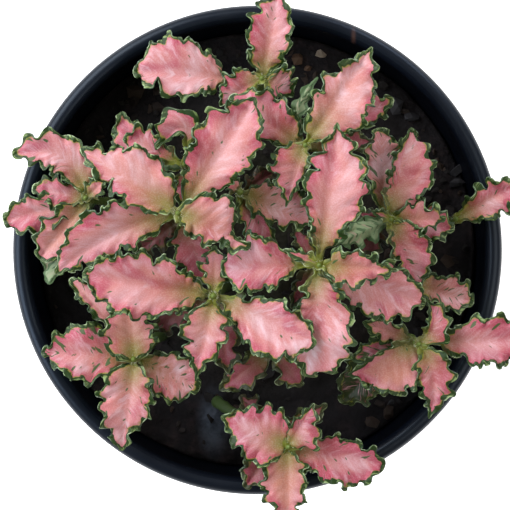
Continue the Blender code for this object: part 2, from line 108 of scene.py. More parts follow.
@dataclass(frozen=True)
class Leaf:
    """One leaf on a stem. Lengths in millimetres, angles in degrees.

    down is how far below the stem's tip it is joined and tip where it ends. left and right are the
    blade's widths on each side of its midrib, looking from the stem, widest the share of the blade
    where they are reached, and taper how slender its ends are. arch and bow are how far the midrib
    rises and turns left halfway, roll how far the left edge is turned up, fold how far both edges
    are, stalk the bare share of the length and waves the coarse teeth on each side. Each notch is a
    side (1 left, -1 right), a share of the length and a depth. crinkle scales the fine teeth. Each
    curl is a side, a share and a depth too: a narrow bay whose edge is turned up and drawn together.
    """

    down: float
    tip: tuple[float, float, float]
    left: float
    right: float
    widest: float = 0.5
    taper: float = 0.9
    arch: float = 1.5
    bow: float = 0
    roll: float = 0
    fold: float = 10
    stalk: float = 0.06
    waves: int = 5
    notches: tuple[tuple[float, float, float], ...] = ()
    crinkle: float = 1.0
    curls: tuple[tuple[float, float, float], ...] = ()
    tone: LeafTone = LeafTone.PINK


@dataclass(frozen=True)
class Stem:
    """One leafy stem: where it leaves the soil, where its growing tip is, and its leaves. Millimetres."""

    name: str
    ground: tuple[float, float]
    tip: tuple[float, float, float]
    leaves: tuple[Leaf, ...]


ROSE, SALMON, PALE = LeafTone.ROSE, LeafTone.SALMON, LeafTone.PALE
FLECKED, OLIVE, SHADED, DARK = LeafTone.FLECKED, LeafTone.OLIVE, LeafTone.SHADED, LeafTone.DARK
STREAKED, TAN, PEACH = LeafTone.STREAKED, LeafTone.TAN, LeafTone.PEACH

STEMS = (
    Stem("stem_front_left", (-8, -8.5), (-10.5, -11, 117), (
        Leaf(3.0, (-10.3, 1, 110), 4, 3.8, arch=0.6, waves=4, tone=OLIVE),
        Leaf(1.4, (-14.8, -31.2, 114.5), 6, 6.2, widest=0.4, taper=1.5, arch=1.6,
             curls=((-1, 0.55, 1.6), (1, 0.5, 1.5), (1, 0.75, 1.0))),
        Leaf(3.6, (-41.5, -5.6, 117), 9, 8.3, widest=0.58, taper=0.75, arch=1.5, roll=-8, waves=6,
             curls=((-1, 0.72, 1.3), (-1, 0.5, 1.3), (1, 0.6, 1.4), (1, 0.38, 1.1))),
        Leaf(4.0, (13.8, -22.3, 119.5), 6.5, 9, widest=0.64, taper=0.8, arch=1, waves=6,
             curls=((1, 0.7, 1.4), (-1, 0.8, 1.3)), tone=PALE),
        Leaf(8.0, (-7, -29.7, 106.5), 4.6, 4.6, arch=1, waves=4, tone=SHADED),
        Leaf(9.0, (-26, -19.5, 105), 4.5, 4.5, arch=0.5, waves=4, tone=DARK),
    )),
    Stem("stem_back_left", (-15, 7), (-18.8, 8.6, 121), (
        Leaf(0.6, (-1.8, 0.5, 119), 8.8, 4.2, widest=0.5, taper=0.6, arch=1.2, stalk=0,
             notches=((1, 0.72, 4.2), (1, 0.82, 4), (1, 0.9, 2), (-1, 0.64, 1.2)), crinkle=1.2, tone=PEACH),
        Leaf(1.4, (-42, 24, 116.6), 5.4, 9, widest=0.45, taper=0.85, waves=6, notches=((-1, 0.8, 2),),
             curls=((1, 0.62, 1.8), (-1, 0.66, 1.4)), tone=PEACH),
        Leaf(3.6, (-48, -5.8, 112), 5, 8.6, widest=0.5, taper=0.75, bow=-2.4, roll=-12, waves=6),
        Leaf(4.0, (-0.5, 36, 118), 8.3, 9, widest=0.6, waves=6,
             curls=((1, 0.8, 1.3), (-1, 0.6, 1.2), (-1, 0.42, 1.2))),
        Leaf(12.5, (-13, -8, 106.5), 5, 5.6, arch=0.5, waves=4, tone=ROSE),
        Leaf(13.0, (-29.5, -1, 103.5), 3.6, 3.6, arch=0.4, waves=4, tone=DARK),
    )),
    Stem("stem_middle", (-4, 11), (-4.2, 13.8, 112), (
        Leaf(1.5, (13.4, 6, 109), 7, 4.4, taper=0.8, arch=0.8, tone=TAN),
        Leaf(3.0, (4.4, 1.4, 106.4), 3, 4.8, arch=0.5, waves=4, tone=ROSE),
        Leaf(2.0, (-7, 17, 109), 2.5, 2.5, arch=0.5, waves=4, tone=OLIVE),
        Leaf(5.0, (5.4, 20, 105), 3, 3, arch=0.4, waves=4, tone=DARK),
    )),
    Stem("stem_centre", (11, -3), (14.5, -3.6, 122), (
        Leaf(0.5, (6, 0, 121.5), 1.6, 2.2, widest=0.4, arch=0.6, waves=4, crinkle=0.6),
        Leaf(0.9, (33.2, -4.8, 120), 4.4, 5.2, widest=0.38, taper=1.1, arch=1.4, tone=OLIVE),
        Leaf(3.0, (18.8, 30, 120), 6.2, 10, widest=0.56, taper=1.1, arch=1.6, waves=6,
             curls=((1, 0.88, 1.3), (1, 0.78, 1.5), (1, 0.66, 1.6), (-1, 0.8, 1.5), (-1, 0.62, 1.9))),
        Leaf(4.2, (11.4, -30.2, 111.5), 11.4, 4.6, widest=0.6, taper=0.65, arch=2.4, roll=12, fold=4, waves=6,
             tone=PALE),
        Leaf(6.0, (-8.6, -4.6, 115), 6.4, 8.6, widest=0.6, taper=0.6, arch=0.8, stalk=0.22, tone=ROSE),
        Leaf(7.2, (40, -12.8, 112), 6.8, 8, widest=0.6, taper=0.7, arch=0.9, waves=6, tone=PALE),
        Leaf(11.0, (8, -14, 109), 2.8, 2.8, arch=0.5, waves=4, tone=SHADED),
        Leaf(12.0, (8.5, 6, 106.5), 2.6, 3, arch=0.5, waves=4, tone=SHADED),
    )),
    Stem("stem_back", (8, 18.5), (11.3, 24.8, 117), (
        Leaf(0.6, (6.8, 10.2, 113.5), 2.8, 7.2, widest=0.34, taper=1.3, arch=1.6, stalk=0, roll=10,
             crinkle=1.2),
        Leaf(1.2, (27.2, 48.2, 114.5), 5.8, 9.2, widest=0.46, taper=1.05, waves=6,
             curls=((1, 0.82, 1.3), (1, 0.68, 1.3), (1, 0.45, 1.2), (-1, 0.55, 1.9)), tone=PEACH),
        Leaf(4.0, (-6.8, 36.5, 110.5), 5, 7.6, widest=0.55, taper=0.75, arch=0.8, tone=ROSE),
        Leaf(4.4, (28, 26, 110), 4, 3.4, arch=0.6, waves=4, tone=SHADED),
        Leaf(8.0, (32.6, 36.2, 108.5), 5, 3.6, widest=0.7, taper=0.7, arch=0.6, tone=ROSE),
        Leaf(8.4, (14.5, 41.5, 108), 2.6, 2, arch=0.6, bow=3, roll=172, waves=4),
    )),
    Stem("stem_far_back", (0.5, 34), (1, 41.3, 107), (
        Leaf(0.5, (-9, 34.6, 105.5), 1.8, 6, arch=1, stalk=0, waves=4),
        Leaf(0.9, (8.6, 37, 104), 6, 3, arch=0.8, waves=4, tone=FLECKED),
        Leaf(3.0, (5, 62, 106.5), 6, 6, widest=0.55, taper=0.7, arch=0.9),
        Leaf(3.5, (-30, 43, 105), 6.3, 10, widest=0.56, taper=0.78, arch=1.4, stalk=0.28, waves=6,
             notches=((1, 0.8, 1.2),), curls=((1, 0.8, 1.7), (-1, 0.62, 1.0)), tone=PALE),
    )),
    Stem("stem_right", (26, 5), (32, 7.3, 109), (
        Leaf(0.4, (27.3, 9.3, 109), 1.6, 2, arch=0.6, waves=4, crinkle=0.6),
        Leaf(1.0, (38.8, -9.6, 105.5), 7.4, 3, widest=0.5, taper=0.85, arch=1, stalk=0, tone=ROSE),
        Leaf(2.0, (45.2, 7.4, 107), 5, 3.6, taper=0.75, arch=0.7, waves=4, tone=OLIVE),
        Leaf(3.5, (37, 29.4, 106), 3.2, 8.6, widest=0.5, taper=0.8, arch=0.8, stalk=0.08),
        Leaf(5.5, (47.6, 5.2, 102.5), 5.6, 4.4, widest=0.6, taper=0.6, arch=0.5, tone=ROSE),
        Leaf(5.0, (18.5, 1.5, 104.5), 3.8, 3.8, arch=0.4, roll=165, waves=4),
        Leaf(6.0, (23.5, 9, 103), 2.4, 2.4, arch=0.4, waves=4, tone=SHADED),
        Leaf(8.0, (30, 29.6, 101), 5, 5, widest=0.7, taper=0.5, arch=0.4, waves=4, tone=TAN),
        Leaf(9.5, (24.5, -1.5, 99.5), 4, 3.6, arch=0.4, waves=4, tone=DARK),
    )),
    Stem("stem_low_right", (34, -7), (37.5, -8.4, 100), (
        Leaf(0.5, (52.6, -12.8, 98), 5.6, 4.2, widest=0.6, taper=0.6, arch=0.4, waves=4, tone=TAN),
        Leaf(0.9, (29, -6, 98.5), 3, 3, arch=0.4, waves=4, tone=SHADED),
    )),
    Stem("stem_right_front", (31, -18), (38.8, -22.6, 109), (
        Leaf(0.5, (40.6, -12, 109), 2.4, 4.4, arch=1.2, bow=-2.6, stalk=0, waves=4),
        Leaf(0.9, (41.3, -40.6, 105), 5.6, 4.4, widest=0.42, taper=1.1, arch=1.6, bow=2.2),
        Leaf(3.0, (68, -21.5, 107), 6.8, 6.6, widest=0.55, taper=0.7, arch=0.8, stalk=0.2, tone=ROSE),
        Leaf(3.4, (22, -30, 103.5), 10.6, 2.6, widest=0.42, taper=0.85, arch=0.8, stalk=0, tone=SALMON),
        Leaf(7.0, (23, -26.6, 100.5), 3.4, 3.8, widest=0.6, taper=0.7, arch=0.4, waves=4, tone=FLECKED),
        Leaf(5.0, (25.5, -17.4, 102.5), 3.4, 3.6, arch=0.4, waves=4, tone=OLIVE),
        Leaf(12.0, (20.5, -37.5, 92), 6.2, 6.2, widest=0.6, taper=0.7, arch=0.4, waves=4, tone=STREAKED),
    )),
    Stem("stem_front", (-10, -38), (7.6, -47.6, 104), (
        Leaf(0.5, (13.6, -37, 105), 3, 6.4, widest=0.4, taper=1.1, arch=0.8, stalk=0, waves=4,
             notches=((-1, 0.6, 1.6),), tone=ROSE),
        Leaf(1.0, (-8.8, -40.3, 101.5), 7.6, 8, widest=0.36, taper=0.95, arch=0.8, stalk=0, tone=ROSE),
        Leaf(1.4, (7.5, -67, 101.5), 5.2, 6.6, widest=0.42, taper=0.8, arch=0.6, tone=SALMON),
        Leaf(3.0, (31, -52.2, 99.8), 5, 7.8, widest=0.58, taper=0.6, arch=0.5, tone=ROSE),
        Leaf(4.6, (-3, -58, 98), 4.2, 4.2, widest=0.55, taper=0.7, arch=0.3, waves=4, tone=SHADED),
        Leaf(6.0, (16.8, -37.4, 98), 2.8, 4.8, arch=0.4, waves=4, tone=SHADED),
        Leaf(5.4, (-4.2, -35.4, 97.5), 3, 3.6, widest=0.6, taper=0.7, arch=0.3, waves=4, tone=DARK),
    )),
    Stem("stem_low_front", (5, -20), (3.4, -24.6, 103), (
        Leaf(0.5, (-9.2, -34, 99.5), 4.4, 3.6, taper=0.8, arch=0.5, waves=4, tone=SHADED),
        Leaf(0.9, (10.8, -33, 100), 4, 3.8, widest=0.6, taper=0.8, arch=0.5, waves=4, tone=SHADED),
    )),
    Stem("stem_left_front", (-24, -21), (-29.8, -26.3, 108), (
        Leaf(0.8, (-31.5, -11, 106.5), 7, 6.4, widest=0.42, taper=0.65, arch=1.2, stalk=0, tone=OLIVE),
        Leaf(1.4, (-32.7, -48.4, 104.5), 6, 7.8, widest=0.42, taper=0.85, arch=1.2, waves=6,
             notches=((1, 0.8, 1.6),), tone=PALE),
        Leaf(3.5, (-52.2, -24.7, 104), 7, 8.4, widest=0.5, taper=0.85, arch=1, tone=FLECKED),
        Leaf(4.0, (-14, -33.4, 102), 6, 7, widest=0.6, taper=0.7, arch=0.6, tone=TAN),
        Leaf(7.0, (-45.6, -7, 99.5), 2.6, 4, widest=0.75, taper=0.6, arch=0.4, waves=4, tone=OLIVE),
        Leaf(6.5, (-26.2, -34, 99.5), 1.8, 1.8, arch=0.3, waves=4, tone=DARK),
    )),
    Stem("stem_left", (-34, 11), (-41.6, 12.6, 103), (
        Leaf(0.5, (-36.5, 17, 103), 3, 2.6, arch=0.5, stalk=0, waves=4, tone=OLIVE),
        Leaf(1.0, (-59.4, 22.8, 101), 4.4, 6.4, widest=0.5, taper=0.55, arch=0.8, bow=-5.5, crinkle=0.6,
             tone=PALE),
        Leaf(2.4, (-54.8, 14.8, 98.6), 3.6, 4.6, widest=0.55, taper=0.6, arch=0.5, waves=4, crinkle=0.7,
             tone=ROSE),
        Leaf(4.2, (-61.8, 7, 98.6), 5.2, 5, widest=0.65, taper=0.5, arch=0.3, crinkle=0.5),
        Leaf(3.0, (-53, -2.2, 98.5), 5.6, 5.8, widest=0.6, taper=0.55, arch=0.4, waves=4, crinkle=0.7,
             tone=SALMON),
        Leaf(6.0, (-51, -8.4, 96), 4.4, 1.8, widest=0.75, taper=0.6, arch=0.3, roll=172, waves=4,
             crinkle=0.5),
    )),
    Stem("stem_left_back", (-15.5, 17), (-17.5, 20.5, 109), (
        Leaf(0.6, (-24.4, 24, 108.5), 1.4, 6, widest=0.55, taper=0.75, arch=2, bow=-7, stalk=0.25,
             crinkle=0.8),
        Leaf(1.5, (-32.2, 27, 106.5), 4, 5.4, widest=0.7, taper=0.75, arch=0.6),
        Leaf(5.0, (-32.8, 33.4, 102.5), 6, 4, widest=0.6, taper=0.75, arch=0.5, bow=3.5, waves=4),
        Leaf(5.4, (-18.6, 10.6, 103.5), 3.2, 3.2, arch=0.4, waves=4, tone=ROSE),
        Leaf(3.6, (-25.2, 20.4, 105.5), 1.6, 1.4, arch=0.4, roll=165, waves=4),
    )),
    Stem("stem_right_edge", (44, 5), (48.6, 7.6, 95.5), (
        Leaf(0.5, (64, 16.6, 100), 4.8, 5.4, widest=0.6, taper=0.8, arch=0.4, stalk=0),
    )),
)


def ease(share: Array | float) -> Array | float:
    """A share from 0 to 1 that starts and stops smoothly."""
    return share * share * (3 - 2 * share)


def smooth_step(low: float, high: float, value: Array) -> Array:
    """An even rise from 0 at low to 1 at high.

    Args:
        low: Where the rise starts.
        high: Where it ends; below low for a fall.
        value: The numbers to map.

    Returns:
        The mapped numbers, 0 to 1.
    """
    return ease(np.clip((value - low) / (high - low), 0, 1))


def eased_between(values: Array, index: Array, share: Array) -> Array:
    """Runs smoothly from one knot's value to the next one's.

    Args:
        values: The value at each knot.
        index: The knot before each place.
        share: How far each place is towards the next knot, 0 to 1.

    Returns:
        The value at each place.
    """
    return values[index] + (values[index + 1] - values[index]) * ease(share)


class Signal:
    """One output in a material, which adds, multiplies and steps by making further nodes."""

    def __init__(self, shader: "Shader", socket: Socket) -> None:
        """Wraps an output.

        Args:
            shader: The material's node tree.
            socket: The output.
        """
        self.shader = shader
        self.socket = socket

    def __add__(self, other: "Value") -> "Signal":
        """This signal and another value together."""
        return self.shader.math("ADD", self, other)

    def __sub__(self, other: "Value") -> "Signal":
        """This signal less another value."""
        return self.shader.math("SUBTRACT", self, other)

    def __rsub__(self, other: "Value") -> "Signal":
        """A number less this signal."""
        return self.shader.math("SUBTRACT", other, self)

    def __mul__(self, other: "Value") -> "Signal":
        """This signal times another value."""
        return self.shader.math("MULTIPLY", self, other)

    def rise(self, low: "Value", high: "Value") -> "Signal":
        """A smooth step from 0 where the signal is low to 1 where it is high.

        Args:
            low: Where the step starts.
            high: Where it ends; below low for a falling step.

        Returns:
            The step, 0 to 1.
        """
        return self.shader.node(
            "MapRange", "Result", {"Value": self, "From Min": low, "From Max": high},
            interpolation_type="SMOOTHSTEP",
        )


Value = Signal | float | Colour


class Shader:
    """One material's node tree, with short calls for the nodes that its finish needs."""

    def __init__(self, name: str) -> None:
        """Starts a material with a Principled shader.

        Args:
            name: The material's name.
        """
        self.material = bpy.data.materials.new(name)
        self.material.use_nodes = True
        self.tree = self.material.node_tree
        self.surface = self.tree.nodes["Principled BSDF"]

    def set(self, **values: Value) -> None:
        """Sets or links the Principled shader's sockets, named in lower case with underscores.

        Args:
            values: A number, a colour or a signal for each socket.
        """
        for name, value in values.items():
            title = name.replace("_", " ").title().replace("Ior", "IOR")
            self.feed(self.surface.inputs[title], value)

    def feed(self, socket: Socket, value: Value) -> None:
        """Links a signal into a socket, or sets the socket's own value.

        Args:
            socket: The input.
            value: A signal, or the constant it gets.
        """
        if isinstance(value, Signal):
            self.tree.links.new(value.socket, socket)
        elif isinstance(value, tuple) and len(socket.default_value) == len(value) + 1:
            socket.default_value = (*value, 1.0)
        else:
            socket.default_value = value

    def node(
        self, kind: str, output: str | int, inputs: dict[str | int, Value], **settings: object,
    ) -> Signal:
        """Adds a node, sets its properties and feeds its inputs.

        Args:
            kind: Blender's name for the node, without "ShaderNode".
            output: The output that is read.
            inputs: A constant or a signal for each input that isn't left alone.
            settings: The node's properties.

        Returns:
            The output.
        """
        made = self.tree.nodes.new(f"ShaderNode{kind}")
        for name, value in settings.items():
            setattr(made, name, value)
        for name, value in inputs.items():
            self.feed(made.inputs[name], value)
        return Signal(self, made.outputs[output])

    def attribute(self, name: str) -> Signal:
        """The value of one of the mesh's own attributes."""
        return self.node("Attribute", "Fac", {}, attribute_name=name)

    def place(self) -> Signal:
        """The point in the object's own coordinates, in metres."""
        return self.node("TexCoord", "Object", {})

    def join(self, x: Value, y: Value, z: Value) -> Signal:
        """Three values as one vector."""
        return self.node("CombineXYZ", "Vector", {"X": x, "Y": y, "Z": z})

    def math(self, operation: str, first: Value, second: Value = 0.0) -> Signal:
        """One arithmetic step, by Blender's name for it."""
        return self.node("Math", "Value", {0: first, 1: second}, operation=operation)

    def noise(self, where: Signal, scale: float, detail: float = 2.0, rough: float = 0.5) -> Signal:
        """Soft noise around 0.5.

        Args:
            where: The vector it is read at.
            scale: Its features per unit.
            detail: Finer octaves.
            rough: How strong these are.

        Returns:
            The noise value.
        """
        inputs = {"Vector": where, "Scale": scale, "Detail": detail, "Roughness": rough}
        return self.node("TexNoise", "Fac", inputs)

    def cells(self, where: Signal, scale: float) -> Signal:
        """The distance to the nearest of many scattered points.

        Args:
            where: The vector it is read at.
            scale: Points per unit.

        Returns:
            The distance, 0 at each point.
        """
        return self.node("TexVoronoi", "Distance", {"Vector": where, "Scale": scale})

    def spot(self, where: Signal, middle: Point, reach: Point) -> Signal:
        """A soft oval, 1 near its middle and 0 at its rim.

        Args:
            where: The vector it is read at.
            middle: The oval's middle.
            reach: How far it reaches along each axis.

        Returns:
            The share, 0 to 1.
        """
        moved = self.node("VectorMath", "Vector", {0: where, 1: middle}, operation="SUBTRACT")
        scaled = self.node("VectorMath", "Vector", {0: moved, 1: reach}, operation="DIVIDE")
        return self.node("VectorMath", "Value", {0: scaled}, operation="LENGTH").rise(1.0, 0.1)

    def mix(self, share: Value, first: Value, second: Value) -> Signal:
        """A blend of two colours.

        Args:
            share: How much of the second, 0 to 1.
            first: First colour.
            second: Second colour.

        Returns:
            The blended colour.
        """
        return self.node("Mix", 2, {0: share, 6: first, 7: second}, data_type="RGBA")

    def bump(self, height: Signal, strength: float, depth: float) -> Signal:
        """A normal turned by a height.

        Args:
            height: The height, 0 to 1.
            strength: How strongly it turns.
            depth: The height of 1, in metres.

        Returns:
            The normal.
        """
        return self.node("Bump", "Normal", {"Strength": strength, "Distance": depth, "Height": height})

    def grouped(self, tree: bpy.types.NodeTree, output: str, **values: Value) -> Signal:
        """Places a shared node group.

        Args:
            tree: The group.
            output: Which of its outputs is read.
            values: Its inputs by name.

        Returns:
            That output.
        """
        inputs = {name.title(): value for name, value in values.items()}
        return self.node("Group", output, inputs, node_tree=tree)


def fine_grain_group() -> bpy.types.NodeTree:
    """The fine pebbled grain shared by the leaves, the stems and the plastic, built once.

    Returns:
        A group with inputs Vector, Size (metres) and Spread and an output Height.
    """
    tree = bpy.data.node_groups.new("fine_grain", "ShaderNodeTree")
    tree.interface.new_socket("Vector", in_out="INPUT", socket_type="NodeSocketVector")
    tree.interface.new_socket("Size", in_out="INPUT", socket_type="NodeSocketFloat")
    tree.interface.new_socket("Spread", in_out="INPUT", socket_type="NodeSocketFloat")
    tree.interface.new_socket("Height", in_out="OUTPUT", socket_type="NodeSocketFloat")
    given = tree.nodes.new("NodeGroupInput")
    made = tree.nodes.new("NodeGroupOutput")
    density = tree.nodes.new("ShaderNodeMath")
    density.operation = "DIVIDE"
    density.inputs[0].default_value = 1.0
    cells = tree.nodes.new("ShaderNodeTexVoronoi")
    cells.feature = "SMOOTH_F1"
    clouds = tree.nodes.new("ShaderNodeTexNoise")
    clouds.inputs["Detail"].default_value = 3.0
    spread = tree.nodes.new("ShaderNodeMath")
    spread.operation = "MULTIPLY_ADD"
    tree.links.new(given.outputs["Size"], density.inputs[1])
    for texture in (cells, clouds):
        tree.links.new(given.outputs["Vector"], texture.inputs["Vector"])
        tree.links.new(density.outputs[0], texture.inputs["Scale"])
    tree.links.new(clouds.outputs["Fac"], spread.inputs[0])
    tree.links.new(given.outputs["Spread"], spread.inputs[1])
    tree.links.new(cells.outputs["Distance"], spread.inputs[2])
    tree.links.new(spread.outputs[0], made.inputs["Height"])
    return tree


class LeafMap:
    """Where a point lies on its leaf, read from the mesh, and noise that follows the leaf's veins."""

    def __init__(self, shader: Shader) -> None:
        """Reads the attributes that both faces of a leaf need.

        Args:
            shader: The face's material.
        """
        self.shader = shader
        self.edge = shader.attribute("edge_mm")
        self.phase = shader.attribute("vein_phase")
        self.side = shader.attribute("side_mm")
        self.seed = shader.attribute("leaf_seed")
        self.midrib = shader.math("ABSOLUTE", self.side)

    def flow(self, lengthwise: Signal, across: float, detail: float = 2.0, rough: float = 0.5) -> Signal:
        """Noise drawn out along the veins, different on every leaf.

        Args:
            lengthwise: What it changes with along the leaf.
            across: Its features per millimetre from the midrib.
            detail: Finer octaves.
            rough: How strong these are.

        Returns:
            The noise value.
        """
        where = self.shader.join(lengthwise, self.side * across, self.seed)
        return self.shader.noise(where, 1.0, detail, rough)


class UpperMap(LeafMap):
    """What the colours of a leaf's upper face are made from, each made once."""

    def __init__(self, shader: Shader) -> None:
        """Reads the attributes and makes the noises.

        Args:
            shader: The upper face's material.
        """
        super().__init__(shader)
        swayed = self.phase + shader.noise(shader.place(), 260.0) * 0.45
        self.along = shader.attribute("along")
        self.clouds = self.flow(self.phase * 0.8, 0.13)
        self.patches = self.flow(self.along * 3.4, 0.17, 1.0)
        self.streaks = self.flow(swayed * 2.0, 0.26, 3.0, 0.6)
        self.threads = self.flow(swayed * 7.0, 0.45, 2.0, 0.6)
        self.outer = self.edge.rise(5.0, 0.6)


@dataclass(frozen=True)
class LeafFinish:
    """The upper face of every leaf: pink with pale streaks, an olive base and a dark green margin."""

    grain: bpy.types.NodeTree
    pink: Colour = (0.600, 0.212, 0.212)
    rose: Colour = (0.46, 0.068, 0.112)
    salmon: Colour = (0.59, 0.245, 0.145)
    pale: Colour = (0.79, 0.565, 0.615)
    olive: Colour = (0.250, 0.125, 0.028)
    stalk_green: Colour = (0.17, 0.18, 0.035)
    base_green: Colour = (0.21, 0.22, 0.035)
    fleck_green: Colour = (0.045, 0.110, 0.028)
    band_dark: Colour = (0.014, 0.040, 0.003)
    # the band's lighter green is partly its own colour and partly painted sheen on its crimps
    band_light: Colour = (0.240, 0.340, 0.118)
    # painted highlight: the pale colour of a broken line along the very edge
    edge_silver: Colour = (0.48, 0.60, 0.35)
    gold: Colour = (0.24, 0.26, 0.02)
    shadow: Colour = (0.030, 0.012, 0.006)
    band_mm: float = 0.86
    band_spread_mm: float = 0.6
    widening_mm: float = 0.55
    fewest_flecks: float = 0.79
    cell_size: float = 0.00028
    relief: float = 0.00008

    def make(self) -> bpy.types.Material:
        """Builds the material.

        Returns:
            The leaf's upper-face material.
        """
        s = Shader("leaf_upper")
        leaf = UpperMap(s)
        colour = self.flushed(s, leaf)
        for layer in (self.streaked, self.greener_at_base, self.flecked, self.edged):
            colour = layer(s, leaf, colour)
        cell = s.grouped(self.grain, "Height", vector=s.place(), size=self.cell_size, spread=0.7)
        vein = s.math("PINGPONG", leaf.phase, 0.5).rise(0.07, 0.0)
        s.set(
            base_color=s.mix(s.attribute("shade"), colour, self.shadow),
            roughness=leaf.clouds * 0.16 + 0.36,
            normal=s.bump(cell * 0.5 + vein * -0.6, 0.55, self.relief),
            specular_ior_level=0.36,
        )
        return s.material

    def flushed(self, s: Shader, leaf: UpperMap) -> Signal:
        """The pink ground, rosier towards the margin and in patches, with its orange cast.

        Args:
            s: The material.
            leaf: The leaf's map.

        Returns:
            The colour.
        """
        rosy = (leaf.outer * 0.6 + leaf.clouds * 0.9) * s.attribute("rose")
        rosy = rosy + leaf.patches.rise(0.50, 0.72) * 0.5
        colour = s.mix(rosy.rise(0.15, 0.75), self.pink, self.rose)
        orange = s.attribute("salmon") * leaf.outer.rise(1.0, 0.0)
        return s.mix(orange * 0.8, colour, self.salmon)

    def streaked(self, s: Shader, leaf: UpperMap, colour: Signal) -> Signal:
        """Adds the pale streaks, threads and patches that run with the veins.

        Args:
            s: The material.
            leaf: The leaf's map.
            colour: The colour so far.

        Returns:
            The colour.
        """
        near_midrib = leaf.midrib.rise(4.5, 0.5) * leaf.along.rise(0.25, 0.6)
        white = leaf.streaks.rise(0.46, 0.72) * 0.6 + near_midrib * 0.12
        white = white + leaf.threads.rise(0.46, 0.72) * leaf.clouds.rise(0.35, 0.6) * 0.26
        white = white + leaf.patches.rise(0.52, 0.34) * 0.45
        white = white * leaf.edge.rise(0.5, 2.4) * leaf.along.rise(0.08, 0.5)
        return s.mix(white * s.attribute("pale"), colour, self.pale)

    def greener_at_base(self, s: Shader, leaf: UpperMap, colour: Signal) -> Signal:
        """Adds the olive of the lower midrib, the yellow-green base and the stalk.

        Args:
            s: The material.
            leaf: The leaf's map.
            colour: The colour so far.

        Returns:
            The colour.
        """
        basal = (leaf.along + leaf.streaks * 0.3).rise(0.85, 0.18) * leaf.midrib.rise(7.0, 0.0)
        colour = s.mix(basal * (s.attribute("olive") * 0.72 + 0.28), colour, self.olive)
        lowest = leaf.along.rise(0.42, 0.06) * leaf.midrib.rise(4.4, 0.3)
        colour = s.mix(lowest * 0.85, colour, self.base_green)
        return s.mix(s.attribute("stalk"), colour, self.stalk_green)

    def flecked(self, s: Shader, leaf: UpperMap, colour: Signal) -> Signal:
        """Adds a fine pale and rosy grain, the green flecks and the green between the streaks.

        Args:
            s: The material.
            leaf: The leaf's map.
            colour: The colour so far.

        Returns:
            The colour.
        """
        grain = s.noise(s.place(), 3200.0, 1.0)
        colour = s.mix(grain.rise(0.46, 0.68) * 0.13, colour, self.pale)
        colour = s.mix(grain.rise(0.55, 0.32) * 0.12, colour, self.rose)
        specks = leaf.flow(leaf.phase * 2.6, 0.42, 1.0)
        gate = self.fewest_flecks - s.attribute("flecks") * 0.17 - leaf.outer * 0.05
        colour = s.mix(specks.rise(gate, gate + 0.05) * 0.92, colour, self.fleck_green)
        between = (leaf.threads + leaf.streaks * 0.5).rise(0.98, 0.76)
        return s.mix(between * s.attribute("green"), colour, self.band_dark)

    def edged(self, s: Shader, leaf: UpperMap, colour: Signal) -> Signal:
        """Adds the green band of the margin, with its gold inner line, its lighter crimps, which are partly
        painted sheen, and a painted highlight along its very edge.

        Args:
            s: The material.
            leaf: The leaf's map.
            colour: The colour so far.

        Returns:
            The colour.
        """
        place = s.place()
        band = s.noise(place, 900.0) * self.band_spread_mm + (self.band_mm - self.band_spread_mm / 2)
        band = band + s.noise(place, 420.0).rise(0.5, 0.75) * self.widening_mm
        line = leaf.edge.rise(band + 0.42, band + 0.05) * 0.85
        colour = s.mix(line * s.noise(place, 260.0, 1.0).rise(0.38, 0.58), colour, self.gold)
        # partly painted sheen: lighter green where the crimps' tops would catch the light
        crimps = leaf.flow(leaf.phase * 5.0, 0.25, 2.0, 0.6)
        green = s.mix(crimps.rise(0.49, 0.67), self.band_dark, self.band_light)
        green = s.mix(leaf.edge.rise(band - 0.58, band - 0.26) * 0.92, green, self.band_dark)
        # painted highlight: a broken pale line along the very edge of the upper face
        silver = leaf.edge.rise(0.20, 0.06) * s.noise(place, 500.0, 1.0).rise(0.47, 0.65)
        green = s.mix(silver, green, self.edge_silver)
        in_band = leaf.edge.rise(band + 0.10, band - 0.06) * (1.0 - s.attribute("stalk") * 0.7)
        return s.mix(in_band, colour, green)


@dataclass(frozen=True)
class UndersideFinish:
    """The lower face of every leaf, pale green with a pink cast and raised veins."""

    grain: bpy.types.NodeTree
    pale_green: Colour = (0.29, 0.38, 0.20)
    pink_cast: Colour = (0.52, 0.34, 0.27)
    patch_green: Colour = (0.05, 0.12, 0.035)
    shadow: Colour = (0.02, 0.02, 0.010)
    cell_size: float = 0.00025
    relief: float = 0.00012

    def make(self) -> bpy.types.Material:
        """Builds the material.

        Returns:
            The leaf's lower-face material.
        """
        s = Shader("leaf_lower")
        leaf = LeafMap(s)
        streaks = leaf.flow(leaf.phase * 2.0, 0.25, 3.0)
        colour = s.mix(streaks.rise(0.50, 0.80), self.pale_green, self.pink_cast)
        spots = leaf.flow(leaf.phase * 1.5, 0.40)
        patched = s.math("MINIMUM", spots.rise(0.51, 0.58) + leaf.edge.rise(0.9, 0.5), 1.0)
        colour = s.mix(patched * 0.85, colour, self.patch_green)
        vein = s.math("PINGPONG", leaf.phase, 0.5).rise(0.09, 0.0) + leaf.midrib.rise(0.5, 0.1)
        cell = s.grouped(self.grain, "Height", vector=s.place(), size=self.cell_size, spread=0.5)
        s.set(
            base_color=s.mix(s.attribute("shade"), colour, self.shadow),
            roughness=streaks * 0.2 + 0.45,
            normal=s.bump(vein + cell * 0.4, 0.6, self.relief),
        )
        return s.material


@dataclass(frozen=True)
class EdgeFinish:
    """The thin rim of every leaf, dark green with a pale painted highlight in patches."""

    # painted highlight: the pale colour on the rim, in patches
    silver: Colour = (0.19, 0.28, 0.155)
    green: Colour = (0.02, 0.06, 0.025)
    shadow: Colour = (0.01, 0.015, 0.008)

    def make(self) -> bpy.types.Material:
        """Builds the material.

        Returns:
            The leaf rim's material.
        """
        s = Shader("leaf_rim")
        colour = s.mix(s.noise(s.place(), 700.0).rise(0.32, 0.62), self.silver, self.green)
        s.set(base_color=s.mix(s.attribute("shade"), colour, self.shadow), roughness=0.42)
        return s.material


